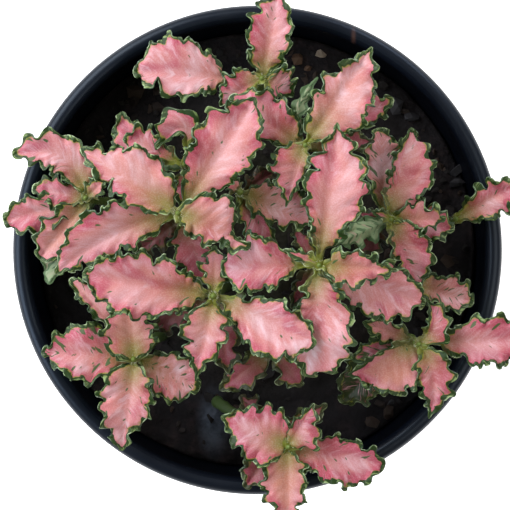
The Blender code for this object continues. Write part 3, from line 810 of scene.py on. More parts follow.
@dataclass(frozen=True)
class StemFinish:
    """The soft stems: yellow-green, browner towards the soil."""

    grain: bpy.types.NodeTree
    green: Colour = (0.14, 0.20, 0.035)
    brown: Colour = (0.048, 0.082, 0.020)
    cell_size: float = 0.0004
    relief: float = 0.0001

    def make(self) -> bpy.types.Material:
        """Builds the material.

        Returns:
            The stem's material.
        """
        s = Shader("stem_skin")
        place = s.place()
        blotch = s.noise(place, 500.0, 3.0)
        browner = (s.attribute("stem_share") + blotch * 0.4).rise(1.1, 0.45)
        cell = s.grouped(self.grain, "Height", vector=place, size=self.cell_size, spread=0.8)
        s.set(
            base_color=s.mix(browner, self.green, self.brown),
            roughness=blotch * 0.2 + 0.4,
            normal=s.bump(cell, 0.5, self.relief),
        )
        return s.material


@dataclass(frozen=True)
class HairFinish:
    """The short pale hairs, whiter here and there."""

    pale: Colour = (0.55, 0.62, 0.42)
    white: Colour = (0.80, 0.82, 0.74)

    def make(self) -> bpy.types.Material:
        """Builds the material.

        Returns:
            The hairs' material.
        """
        s = Shader("plant_hair")
        mottle = s.noise(s.place(), 2500.0)
        s.set(base_color=s.mix(mottle.rise(0.4, 0.6), self.pale, self.white), roughness=0.5)
        return s.material


@dataclass(frozen=True)
class PlasticFinish:
    """The pot's black plastic, with faint dust and one brown mark on its lip at the back."""

    grain: bpy.types.NodeTree
    name: str = "black_plastic"
    specular: float = 0.20
    # painted reflection colour: the specular tint makes the plastic's highlights bluer
    tint: Colour = (0.84, 0.90, 1.0)
    black: Colour = (0.0028, 0.0044, 0.0095)
    dust: Colour = (0.045, 0.042, 0.040)
    mark: Colour = (0.090, 0.042, 0.030)
    mark_place: Point = (0.0235, 0.0524, 0.0930)
    mark_reach: Point = (0.0009, 0.0034, 0.0060)
    cell_size: float = 0.0005
    relief: float = 0.00006

    def make(self) -> bpy.types.Material:
        """Builds the material.

        Returns:
            The pot's material.
        """
        s = Shader(self.name)
        place = s.place()
        cloud = s.noise(place, 60.0, 4.0, 0.6)
        speck = s.cells(place, 420.0).rise(0.16, 0.05)
        dusty = cloud.rise(0.55, 0.85) * 0.25 + speck * cloud.rise(0.5, 0.7)
        colour = s.mix(dusty * 0.4, self.black, self.dust)
        marked = s.spot(place, self.mark_place, self.mark_reach) * 0.7
        fine = s.grouped(self.grain, "Height", vector=place, size=self.cell_size, spread=0.9)
        s.set(
            base_color=s.mix(marked, colour, self.mark),
            roughness=cloud * 0.16 + 0.29,
            normal=s.bump(fine, 0.25, self.relief),
            specular_ior_level=self.specular,
            specular_tint=self.tint,
        )
        return s.material


@dataclass(frozen=True)
class SoilFinish:
    """Dark, damp potting mix, with a painted olive-green shade under the leaves and one pale streak on it at
    the front.
    """

    dark: Colour = (0.0062, 0.0048, 0.0062)
    brown: Colour = (0.0290, 0.0190, 0.0200)
    # painted shade: the olive-green darkness of the shaded foliage, laid on the soil under the leaves
    mossy: Colour = (0.0200, 0.0190, 0.0080)
    bloom: Colour = (0.090, 0.108, 0.140)
    moss_place: Point = (0.004, 0.002, SOIL_LEVEL)
    moss_reach: Point = (0.050, 0.048, 0.1)
    bloom_place: Point = (-0.0112, -0.0435, SOIL_LEVEL)
    bloom_reach: Point = (0.0050, 0.0110, 0.1)
    relief: float = 0.0006

    def make(self) -> bpy.types.Material:
        """Builds the material.

        Returns:
            The soil's material.
        """
        s = Shader("potting_mix")
        place = s.place()
        lumps = s.noise(place, 350.0, 4.0, 0.65)
        damp = s.noise(place, 70.0)
        colour = s.mix(lumps.rise(0.40, 0.75) * damp.rise(0.35, 0.65), self.dark, self.brown)
        # painted shade: the soil turns olive-green under the leaves
        colour = s.mix(s.spot(place, self.moss_place, self.moss_reach) * 0.7, colour, self.mossy)
        bloomed = s.spot(place, self.bloom_place, self.bloom_reach) * (lumps.rise(0.3, 0.6) * 0.4 + 0.4)
        s.set(
            base_color=s.mix(bloomed, colour, self.bloom),
            roughness=damp * 0.2 + 0.75,
            normal=s.bump(lumps + s.cells(place, 900.0) * 0.4, 0.8, self.relief),
            specular_ior_level=0.25,
        )
        return s.material


class ChipTone(Enum):
    """The kinds of chip that are placed one by one; the scattered ones lie between 0 and 1."""

    GREY = 0.98
    WOOD = 1.5
    PEBBLE = 2.0


@dataclass(frozen=True)
class ChipFinish:
    """Bark chips and grit on the soil, each with a colour of its own."""

    dark: Colour = (0.0085, 0.0065, 0.0065)
    brown: Colour = (0.028, 0.017, 0.012)
    grey: Colour = (0.026, 0.025, 0.029)
    wood: Colour = (0.085, 0.048, 0.030)
    pebble: Colour = (0.27, 0.215, 0.165)
    relief: float = 0.0002

    def make(self) -> bpy.types.Material:
        """Builds the material.

        Returns:
            The chips' material.
        """
        s = Shader("bark_chips")
        own = s.attribute("chip_tone")
        mottle = s.noise(s.place(), 1500.0, 3.0)
        colour = s.mix((own + mottle * 0.15).rise(0.45, 0.95), self.dark, self.brown)
        colour = s.mix(own.rise(0.955, 0.965), colour, self.grey)
        colour = s.mix(own.rise(1.4, 1.5), colour, self.wood)
        colour = s.mix(own.rise(1.9, 2.0), colour, self.pebble)
        s.set(
            base_color=colour,
            roughness=mottle * 0.2 + 0.65,
            normal=s.bump(mottle, 0.6, self.relief),
            specular_ior_level=0.3,
        )
        return s.material


@dataclass(frozen=True)
class FloorFinish:
    """The pale studio floor, lifted a little so that the pot's shadow stays light."""

    pale: Colour = (0.90, 0.90, 0.90)
    glow: Colour = (1.0, 1.0, 1.0)
    lift: float = 0.85

    def make(self) -> bpy.types.Material:
        """Builds the material.

        Returns:
            The floor's material.
        """
        s = Shader("studio_floor")
        s.set(base_color=self.pale, roughness=0.9, emission_color=self.glow, emission_strength=self.lift)
        return s.material


@dataclass
class Margin:
    """One side of a leaf's edge: uneven rounded lobes and bays, some overhung, some turned up or down."""

    draw: random.Random
    length_mm: float
    crinkle: float
    busy_gaps: tuple[float, float] = (0.6, 1.6)
    calm_gaps: tuple[float, float] = (1.4, 2.8)
    busy_sizes: tuple[float, float] = (0.5, 1.15)
    calm_sizes: tuple[float, float] = (0.1, 0.4)
    calm_share: float = 0.35
    overhangs: tuple[float, float] = (0.04, 0.30)
    steepest: float = 0.75
    least_fold: float = 0.4
    knots: list[float] = field(default_factory=list)
    teeth: list[float] = field(default_factory=list)
    folds: list[float] = field(default_factory=list)
    loops: list[float] = field(default_factory=list)

    def __post_init__(self) -> None:
        """Draws the knots, each one the top of a lobe or the bottom of a bay."""
        place, outward, before = -self.draw.random(), True, self.calm_gaps[0]
        while place < self.length_mm + self.calm_gaps[1]:
            calm = self.draw.random() < self.calm_share
            gap = self.draw.uniform(*(self.calm_gaps if calm else self.busy_gaps))
            size = self.draw.uniform(*(self.calm_sizes if calm else self.busy_sizes)) * self.crinkle
            size = min(size, self.steepest * min(gap, before))
            self.knots.append(place)
            self.teeth.append(size if outward else -size)
            strength = self.least_fold + (1 - self.least_fold) * self.crinkle
            self.folds.append(self.draw.uniform(-1.0, 1.0) * strength)
            self.loops.append(self.draw.uniform(*self.overhangs) * self.crinkle * min(gap, 1))
            place += gap
            outward, before = not outward, gap

    def read(self, place: Array) -> tuple[Array, Array, Array]:
        """The edge's moves, eased from knot to knot.

        Args:
            place: Lengths along the side, in millimetres.

        Returns:
            The outward move and the turn in shares of their sizes, and the slide in millimetres.
        """
        knots, teeth, folds = np.array(self.knots), np.array(self.teeth), np.array(self.folds)
        index = np.clip(np.searchsorted(knots, place, side="right") - 1, 0, len(knots) - 2)
        gap = knots[index + 1] - knots[index]
        share = np.clip((place - knots[index]) / gap, 0, 1)
        slide = np.array(self.loops)[index] * gap * np.sin(math.tau * share)
        return eased_between(teeth, index, share), eased_between(folds, index, share), slide


@dataclass
class Blade:
    """One leaf's surface, worked out from its table row at any fineness."""

    stem: Stem
    leaf: Leaf
    seed: int
    step_mm: float = 0.165
    fewest_steps: int = 24
    rows: int = 20
    stalk_half_mm: float = 0.9
    stalk_green_mm: tuple[float, float] = (1.2, 3.2)
    stalk_green_share: tuple[float, float] = (0.45, 0.1)
    tip_half_mm: float = 0.12
    base_fullness: float = 0.78
    root_depth: float = 0.0006
    notch_spread: float = 0.07
    slope_samples: int = 200
    steepest_edge: float = 2
    veins: int = 7
    vein_lean: float = 0.08
    vein_sweep: float = 0.22
    vein_shift: float = 0.13
    extra_fold: float = 3
    camber: float = 0.07
    quilting: float = 0.014
    groove_mm: float = 0.10
    groove_half_mm: float = 0.7
    grooved_width_mm: float = 3
    swell: float = 0.05
    swell_turns: tuple[float, float, float] = (1.1, 1.9, 2.8)
    coarse_depth: float = 0.0008
    coarse_lean: float = 0.2
    coarse_sizes: tuple[float, float] = (0.55, 1.35)
    coarse_band: tuple[float, float] = (0.35, 1.0)
    toothed_width: float = 0.003
    plain_base: float = 0.06
    plain_tip: float = 0.05
    tip_strength: float = 0.35
    tooth_mm: float = 0.70
    fold_mm: float = 0.85
    crisp_mm: float = 0.25
    soft_reach_mm: float = 2.6
    crimp_mm: float = 1.05
    crimp_out_mm: float = 0.11
    crimp_up_mm: float = 0.16
    crimp_reach_mm: tuple[float, float] = (1.3, 0.2)
    crimp_sway: tuple[float, float] = (2.2, 0.9)
    crimp_fade: tuple[float, float] = (0.4, 1.3)
    curl_mm: float = 0.8
    curl_lift: float = 0.6
    curl_neck: float = 0.25
    neck_reach: float = 1.5
    seed_step: float = 1.37

    def __post_init__(self) -> None:
        """Draws the leaf's coarse teeth, both margins, its swells and its crimps."""
        draw = random.Random(self.seed)
        count = 2 * self.leaf.waves + 1
        self.sizes = [[draw.uniform(*self.coarse_sizes) for _ in range(count)] for _ in SIDES]
        self.phases = [draw.uniform(0, math.tau) for _ in SIDES]
        self.base = np.array(StemLine(self.stem).point((self.stem.tip[2] - self.leaf.down) * MM))
        self.tip = np.array(self.leaf.tip) * MM
        self.length_mm = float(np.linalg.norm(self.tip - self.base)) / MM
        self.steps = max(int(self.length_mm / self.step_mm), self.fewest_steps)
        self.margins = [Margin(draw, self.length_mm, self.leaf.crinkle) for _ in SIDES]
        self.swells = [[draw.uniform(0, math.tau) for _ in self.swell_turns] for _ in SIDES]
        self.crimps = [[draw.uniform(0, math.tau) for _ in range(2)] for _ in SIDES]

    def billow(self, share: Array, side: Array) -> Array:
        """The slow rise and fall of each half of the blade, in shares of its width.

        Args:
            share: Shares of the leaf's length.
            side: Positive on the left and negative on the right.

        Returns:
            The rise at each share.
        """
        rises = []
        for phases in self.swells:
            waves = zip(self.swell_turns, phases)
            rises.append(sum(np.sin(math.tau * share * turns + phase) for turns, phase in waves) * self.swell)
        return np.where(side > 0, rises[0], rises[1])

    def crimp(self, place: Array, edge_mm: Array, hand: int) -> tuple[Array, Array]:
        """The finest crimps of one margin, which fade inwards.

        Args:
            place: Lengths along the side, in millimetres.
            edge_mm: Distances from the margin, in millimetres.
            hand: 0 for the left side and 1 for the right.

        Returns:
            The outward and upward moves, in millimetres.
        """
        first, second = self.crimps[hand]
        sway, sways_per_mm = self.crimp_sway
        fade, fades_per_mm = self.crimp_fade
        turn = math.tau * place / self.crimp_mm + sway * np.sin(place * sways_per_mm + first) + second
        depth = (1 - fade + fade * np.sin(place * fades_per_mm + second)) * self.leaf.crinkle
        depth = depth * smooth_step(*self.crimp_reach_mm, edge_mm)
        return self.crimp_out_mm * depth * np.cos(turn), self.crimp_up_mm * depth * np.sin(turn)

    def midrib(self, share: Array) -> tuple[Array, Array, Array, Array]:
        """The midrib at shares of the leaf's length.

        Args:
            share: Shares, 0 at the stem and 1 at the tip.

        Returns:
            Its places and its forward, left and up directions, one row for each share.
        """
        run = self.tip - self.base
        across = np.array((-run[1], run[0], 0.0))
        across /= np.linalg.norm(across)
        bend = across * self.leaf.bow * MM + np.array((0, 0, self.leaf.arch * MM))
        share = share[:, None]
        place = self.base + run * share + bend * (4 * share * (1 - share))
        forward = run + bend * (4 - 8 * share)
        forward /= np.linalg.norm(forward, axis=1, keepdims=True)
        level = np.stack((-forward[:, 1], forward[:, 0], np.zeros(len(forward))), axis=1)
        level /= np.linalg.norm(level, axis=1, keepdims=True)
        roll = math.radians(self.leaf.roll)
        left = level * math.cos(roll) + np.cross(forward, level) * math.sin(roll)
        return place, forward, left, np.cross(forward, left)

    def half_width(self, share: Array, side: Array) -> Array:
        """The blade's width on one side of its midrib, in metres.

        Args:
            share: Shares of the leaf's length.
            side: Positive on the left and negative on the right.

        Returns:
            The width at each share.
        """
        leaf = self.leaf
        blade = np.clip((share - leaf.stalk) / (1 - leaf.stalk), 0, 1)
        power = math.log(0.5) / math.log(leaf.widest)
        taper = np.where(blade < leaf.widest, leaf.taper * self.base_fullness, leaf.taper)
        oval = np.maximum(np.sin(np.pi * blade ** power), 0) ** taper
        edge = (self.stalk_half_mm + (self.tip_half_mm - self.stalk_half_mm) * blade) * MM
        full = np.where(side > 0, leaf.left, leaf.right) * MM
        width = edge + (full - self.stalk_half_mm * MM) * oval
        for notch_side, place, depth in leaf.notches:
            cut = depth * MM * np.exp(-(((share - place) / self.notch_spread) ** 2))
            width = width - np.where(notch_side * side > 0, cut, 0)
        return np.maximum(width, edge)

    def coarse_wave(self, along: Array, hand: int) -> tuple[Array, Array]:
        """The coarse teeth of one side and their ruffle, eased between steps.

        Args:
            along: Shares of the leaf's length.
            hand: 0 for the left side and 1 for the right.

        Returns:
            The outward and upward moves at the margin, in shares of the coarse depth.
        """
        count = 2 * self.leaf.waves
        steps = np.arange(count + 1)
        size = np.array(self.sizes[hand])
        outward = size * np.cos(np.pi * steps)
        upward = size * np.sin(np.pi * steps * 0.5 + self.phases[hand])
        place = along * count
        index = np.clip(np.floor(place).astype(int), 0, count - 1)
        return eased_between(outward, index, place - index), eased_between(upward, index, place - index)

    def edge_distance(self, along: Array, across: Array, share: Array, half: Array) -> Array:
        """How far inside the margin each point lies, square to it.

        Args:
            along: Grid places from stem, 0, to tip, 1.
            across: Grid places from the right margin, -1, to the left one, 1.
            share: Shares of the leaf's length.
            half: The blade's width on the point's side, in metres.

        Returns:
            The distances, in millimetres.
        """
        samples = np.linspace(0, 1, self.slope_samples)
        widths = self.half_width(samples, np.ones(self.slope_samples))
        slopes = np.abs(np.gradient(widths)) * self.slope_samples
        slope = np.interp(share, samples, slopes) / (self.length_mm * MM)
        edge_mm = (1 - np.abs(across)) * half / MM / np.sqrt(1 + np.minimum(slope, self.steepest_edge) ** 2)
        return np.minimum(edge_mm, (1 - along) * self.length_mm)

    def section(self, share: Array, across: Array, half: Array, phase: Array) -> tuple[Array, Array]:
        """The blade's smooth cross-section: folded, domed, quilted between its veins and billowing.

        Args:
            share: Shares of the leaf's length.
            across: Grid places from the right margin, -1, to the left one, 1.
            half: The blade's width on the point's side, in metres.
            phase: The veins' phase, whole on each vein.

        Returns:
            How far each point lies to the left of the midrib and above it, in metres.
        """
        spread = np.abs(across)
        fold = math.radians(self.leaf.fold + self.extra_fold)
        lift = spread * half * math.sin(fold) + self.camber * half * np.sin(np.pi * spread)
        quilt = np.cos(2 * np.pi * phase) * np.sin(np.pi * np.clip(spread, 0, 1)) * half * self.quilting
        groove = -self.groove_mm * MM * np.exp(-((spread * half / MM / self.groove_half_mm) ** 2))
        groove = groove * smooth_step(0, self.grooved_width_mm, half / MM)
        billow = self.billow(share, across) * half * spread ** 1.5
        return across * half * math.cos(fold), lift + quilt + groove + billow

    def strengths(self, along: Array, across: Array, half: Array, edge_mm: Array) -> tuple[Array, Array]:
        """How strongly the coarse teeth and the fine frill move each point.

        Args:
            along: Grid places from stem, 0, to tip, 1.
            across: Grid places from the right margin, -1, to the left one, 1.
            half: The blade's width on the point's side, in metres.
            edge_mm: Distances from the margin, in millimetres.

        Returns:
            Metres for a coarse move of 1 and for a fine one of a millimetre.
        """
        narrow = np.clip(half / self.toothed_width, 0, 1)
        coarse = smooth_step(*self.coarse_band, np.abs(across)) * narrow * self.coarse_depth
        reach = np.minimum(self.soft_reach_mm, half / MM * 0.8 + 0.2)
        fine = 1 - smooth_step(0, 1, (edge_mm - self.crisp_mm) / reach)
        at_tip = self.tip_strength + (1 - self.tip_strength) * smooth_step(0, self.plain_tip, 1 - along)
        return coarse, fine * narrow * smooth_step(0, self.plain_base, along) * at_tip * MM

    def frill(self, hand: int, share: Array, edge_mm: Array) -> tuple[Array, Array, Array]:
        """The fine moves of one margin: its lobes and bays, its crimps and its placed curls.

        Args:
            hand: 0 for the left side and 1 for the right.
            share: Shares of the leaf's length.
            edge_mm: Distances from the margin, in millimetres.

        Returns:
            The outward, upward and forward moves, in millimetres.
        """
        tooth, turn, slide = self.margins[hand].read(share * self.length_mm)
        out_crimp, up_crimp = self.crimp(share * self.length_mm, edge_mm, hand)
        tooth, turn = tooth * self.tooth_mm + out_crimp, turn * self.fold_mm + up_crimp
        for side, place, depth in self.leaf.curls:
            if side * SIDES[hand] > 0:
                away = (share - place) * self.length_mm / self.curl_mm
                bay = np.exp(-(away ** 2))
                neck = away * np.exp(-((away / self.neck_reach) ** 2)) * depth * self.curl_neck
                tooth = tooth * (1 - bay) - depth * bay
                turn = turn + depth * self.curl_lift * bay
                slide = slide * (1 - bay) - neck
        return tooth, turn, slide

    def points(self, along: Array, across: Array) -> dict[str, Array]:
        """The blade's points with what its colours read.

        Args:
            along: Grid places from stem, 0, to tip, 1.
            across: Grid places from the right margin, -1, to the left one, 1.

        Returns:
            The points in metres under "place", and one array for each attribute.
        """
        share = along + self.vein_lean * np.sin(np.pi * along) * across * across
        half = self.half_width(share, across)
        edge_mm = self.edge_distance(along, across, share, half)
        phase = (share - self.vein_sweep * np.abs(across)) * self.veins + self.seed % 7 * self.vein_shift
        place, forward, left, up = self.midrib(share)
        sideways, upward = self.section(share, across, half, phase)
        point = place + left * sideways[:, None] + up * upward[:, None]
        point -= forward * ((along <= 0) * self.root_depth)[:, None]

        coarse, fine = self.strengths(along, across, half, edge_mm)
        for hand, sign in enumerate(SIDES):
            mine = across * sign > 0
            outward = left * sign
            teeth, ruffle = self.coarse_wave(along, hand)
            lean = outward + forward * self.coarse_lean
            point += (lean * teeth[:, None] + up * ruffle[:, None]) * (coarse * mine)[:, None]
            tooth, turn, slide = self.frill(hand, share, edge_mm)
            move = outward * tooth[:, None] + up * turn[:, None] + forward * slide[:, None]
            point += move * (fine * mine)[:, None]

        wide = smooth_step(*self.stalk_green_mm, half / MM)
        same_all_over = {"leaf_seed": self.seed * self.seed_step, **asdict(self.leaf.tone.value)}
        return {
            "place": point,
            "edge_mm": edge_mm,
            "vein_phase": phase,
            "side_mm": across * half / MM,
            "along": along,
            "stalk": (1 - wide) * smooth_step(*self.stalk_green_share, along),
            **{name: np.full(len(along), value) for name, value in same_all_over.items()},
        }


@dataclass(frozen=True)
class StemLine:
    """The centre line of a stem: upright in the soil, then leaning over to its tip."""

    stem: Stem
    soil_level: float = SOIL_LEVEL
    upright: float = 0.003

    def point(self, height: float) -> Vector:
        """The stem's centre at a height.

        Args:
            height: Metres above the pot's underside.

        Returns:
            The point, in metres.
        """
        foot = self.soil_level + self.upright
        share = min(max((height - foot) / (self.stem.tip[2] * MM - foot), 0), 1)
        ground = Vector((*self.stem.ground, 0)) * MM
        tip = Vector((*self.stem.tip[:2], 0)) * MM
        place = ground.lerp(tip, (ease(share) + share) / 2)
        place.z = height
        return place


class Finishes:
    """Every material of the plant, each made once."""

    def __init__(self) -> None:
        """Builds the shared grain and the materials."""
        grain = fine_grain_group()
        self.leaf = [LeafFinish(grain).make(), UndersideFinish(grain).make(), EdgeFinish().make()]
        self.stem = StemFinish(grain).make()
        self.hair = HairFinish().make()
        self.plastic = PlasticFinish(grain).make()
        # painted highlight: the lip's crown gets a shinier copy of the plastic with a bluer reflection, so
        # that the lights' highlights fall on it while the duller wall reflects less
        rubbed = PlasticFinish(grain, name="rubbed_black_plastic", specular=0.38, tint=(0.70, 0.84, 1.0))
        self.rubbed = rubbed.make()
        self.soil = SoilFinish().make()
        self.chips = ChipFinish().make()
        self.floor = FloorFinish().make()


def object_from(bm: bmesh.types.BMesh, name: str, materials: list[bpy.types.Material]) -> bpy.types.Object:
    """Turns a bmesh into a scene object.

    Args:
        bm: The shape, which is freed.
        name: The object's name.
        materials: Its materials in order.

    Returns:
        The object.
    """
    mesh = bpy.data.meshes.new(name)
    bm.to_mesh(mesh)
    bm.free()
    for material in materials:
        mesh.materials.append(material)
    obj = bpy.data.objects.new(name, mesh)
    bpy.context.scene.collection.objects.link(obj)
    return obj


def turned(profile: Outline, sides: int) -> bmesh.types.BMesh:
    """Turns an outline round the upright axis.

    Args:
        profile: Radius and height of each point, from the axis and back to it.
        sides: Steps round the axis.

    Returns:
        The closed shape.
    """
    bm = bmesh.new()
    verts = [bm.verts.new((radius, 0, height)) for radius, height in profile]
    edges = [bm.edges.new(pair) for pair in zip(verts, verts[1:])]
    bmesh.ops.spin(
        bm, geom=verts + edges, cent=(0, 0, 0), axis=(0, 0, 1), angle=math.tau, steps=sides,
        use_merge=True, use_duplicate=False,
    )
    bmesh.ops.remove_doubles(bm, verts=bm.verts, dist=MERGE_DISTANCE)
    return bm


def apply_modifiers(obj: bpy.types.Object) -> None:
    """Replaces an object's mesh with its evaluated one.

    Args:
        obj: The object.
    """
    graph = bpy.context.evaluated_depsgraph_get()
    made = bpy.data.meshes.new_from_object(obj.evaluated_get(graph))
    obj.modifiers.clear()
    obj.data = made


def store(mesh: bpy.types.Mesh, name: str, values: Array) -> None:
    """Keeps one number for each vertex as an attribute.

    Args:
        mesh: The mesh.
        name: The attribute's name.
        values: The numbers.
    """
    mesh.attributes.new(name, "FLOAT", "POINT").data.foreach_set("value", values.astype(np.float32))


def report(piece: bpy.types.Object) -> None:
    """Logs a piece's name and triangles.

    Args:
        piece: The finished piece.
    """
    shape = piece.evaluated_get(bpy.context.evaluated_depsgraph_get()).to_mesh()
    shape.calc_loop_triangles()
    logging.info("%s: %d triangles", piece.name, len(shape.loop_triangles))


@dataclass
class Hairs:
    """Fine pale hairs on the top of a stem and on the bases of its leaves."""

    stem: Stem
    first_seed: int
    stem_radius: float
    on_stem: int = 90
    on_leaf: int = 26
    radius: float = 0.00003
    lengths: tuple[float, float] = (0.0004, 0.0009)
    stem_reach: float = 0.012
    leaf_reach: float = 0.30
    spread: float = 0.0011
    sunk: float = 0.00012
    stem_lift: tuple[float, float] = (0, 0.6)
    leaf_lean: tuple[float, float] = (-0.3, 0.7)
    splay: float = 0.8
    sides: int = 3

    def grow(self, bm: bmesh.types.BMesh) -> None:
        """Adds the hairs to a mesh, on its second material.

        Args:
            bm: The stem's mesh.
        """
        draw = random.Random(self.first_seed)
        line = StemLine(self.stem)
        for _ in range(self.on_stem):
            height = self.stem.tip[2] * MM - self.stem_reach * draw.random() ** 1.5
            turn = draw.uniform(0, math.tau)
            outward = Vector((math.cos(turn), math.sin(turn), draw.uniform(*self.stem_lift)))
            self.add(bm, line.point(height) + outward * self.stem_radius, outward, draw)
        for index, leaf in enumerate(self.stem.leaves):
            blade = Blade(self.stem, leaf, self.first_seed + index)
            shares = np.array([self.leaf_reach * draw.random() for _ in range(self.on_leaf)])
            for place, forward, left, up in zip(*blade.midrib(shares)):
                side = draw.uniform(-1, 1)
                outward = up + left * side * self.splay + forward * draw.uniform(*self.leaf_lean)
                root = place + left * (side * self.spread) - up * self.sunk
                self.add(bm, Vector(root), Vector(outward), draw)

    def add(self, bm: bmesh.types.BMesh, root: Vector, way: Vector, draw: random.Random) -> None:
        """Adds one hair, a slim cone.

        Args:
            bm: The mesh to add it to.
            root: Where it stands.
            way: The direction it points in.
            draw: The source of its length.
        """
        length = draw.uniform(*self.lengths)
        aimed = way.to_track_quat("Z", "Y").to_matrix().to_4x4()
        middle = root + way.normalized() * (length / 2)
        made = bmesh.ops.create_cone(
            bm, cap_ends=True, segments=self.sides, radius1=self.radius, radius2=0, depth=length,
            matrix=Matrix.Translation(middle) @ aimed,
        )["verts"]
        for face in {face for vert in made for face in vert.link_faces}:
            face.material_index = 1


@dataclass
class LeafyStem:
    """One stem with its leaves, standing for its node."""

    number: int
    stem: Stem
    finishes: Finishes
    thickness: float = 0.00034
    seeds_per_stem: int = 100
    row_crowding: float = 1.7
    stem_radius: float = 0.0014
    foot_radius: float = 0.0017
    tip_radius: float = 0.0008
    sides: int = 14
    rings: int = 40
    depth: float = 0.022
    joints: int = 4
    swelling: float = 0.00035
    rounded_share: float = 0.03
    blunt_share: float = 0.02

    def build(self) -> None:
        """Builds the leaves and the stem and lets them stand for the node."""
        leaves = self.build_leaves()
        stalk = self.build_stalk()
        for piece in (leaves, stalk):
            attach(piece, BODY)
            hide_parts(self.stem.name)
            report(piece)

    def build_leaves(self) -> bpy.types.Object:
        """All the stem's leaves as one mesh of ruffled, veined sheets with their thickness.

        Returns:
            The leaves.
        """
        bm = bmesh.new()
        blades, ends = [], [0]
        for index, leaf in enumerate(self.stem.leaves):
            blade = Blade(self.stem, leaf, self.number * self.seeds_per_stem + index)
            bmesh.ops.create_grid(bm, x_segments=blade.steps, y_segments=blade.rows, size=1)
            blades.append(blade)
            ends.append(len(bm.verts))
        for face in bm.faces:
            face.smooth = True
        piece = object_from(bm, f"{self.stem.name}_leaves", self.finishes.leaf)
        mesh = piece.data
        flat = np.empty(len(mesh.vertices) * 3, np.float32)
        mesh.vertices.foreach_get("co", flat)
        flat = flat.reshape(-1, 3).astype(float)
        parts = []
        for blade, first, last in zip(blades, ends, ends[1:]):
            along = (flat[first:last, 0] + 1) / 2
            across = np.clip(flat[first:last, 1], -1, 1)
            across = np.sign(across) * (1 - (1 - np.abs(across)) ** self.row_crowding)
            parts.append(blade.points(along, across))
        merged = {name: np.concatenate([part[name] for part in parts]) for name in parts[0]}
        mesh.vertices.foreach_set("co", merged.pop("place").astype(np.float32).ravel())
        for name, values in merged.items():
            store(mesh, name, values)
        wall = piece.modifiers.new("thickness", "SOLIDIFY")
        wall.thickness = self.thickness
        wall.offset = 0
        wall.material_offset = 1
        wall.material_offset_rim = 2
        mesh.update()
        return piece

    def stalk_radius(self, share: float, above: float) -> float:
        """The stem's radius at one ring.

        Args:
            share: The ring's share of the whole stem, from its foot in the soil.
            above: Its share of the stretch above the soil, 0 in the soil.

        Returns:
            The radius in metres.
        """
        radius = self.foot_radius + (self.stem_radius - self.foot_radius) * min(above * 4, 1)
        radius += (self.tip_radius - self.stem_radius) * above
        radius += self.swelling * max(math.cos(above * self.joints * math.tau), 0) ** 8
        past = max(share - (1 - self.rounded_share), 0) / self.rounded_share
        return radius * math.sqrt(max(1 - past, self.blunt_share))

    def build_stalk(self) -> bpy.types.Object:
        """The stem itself: a tube along its line, swollen at its joints and rounded at its tip.

        Returns:
            The stem.
        """
        line = StemLine(self.stem)
        low = line.soil_level - self.depth
        high = self.stem.tip[2] * MM + self.tip_radius
        bm = bmesh.new()
        last_ring = None
        for index in range(self.rings + 1):
            share = index / self.rings
            height = low + (high - low) * share
            above = min(max((height - line.soil_level) / (high - line.soil_level), 0), 1)
            ring = bmesh.ops.create_circle(
                bm, segments=self.sides, radius=self.stalk_radius(share, above),
                cap_ends=index in (0, self.rings), matrix=Matrix.Translation(line.point(height)),
            )["verts"]
            held = set(ring)
            edges = [edge for vert in ring for edge in vert.link_edges if edge.other_vert(vert) in held]
            edges = list(dict.fromkeys(edges))
            if last_ring:
                bmesh.ops.bridge_loops(bm, edges=last_ring + edges)
            last_ring = edges
        Hairs(self.stem, self.number * self.seeds_per_stem, self.tip_radius).grow(bm)
        bmesh.ops.recalc_face_normals(bm, faces=bm.faces)
        for face in bm.faces:
            face.smooth = True
        shares = np.array([(vert.co.z - line.soil_level) / (high - line.soil_level) for vert in bm.verts])
        piece = object_from(bm, f"{self.stem.name}_stalk", [self.finishes.stem, self.finishes.hair])
        store(piece.data, "stem_share", shares)
        return piece


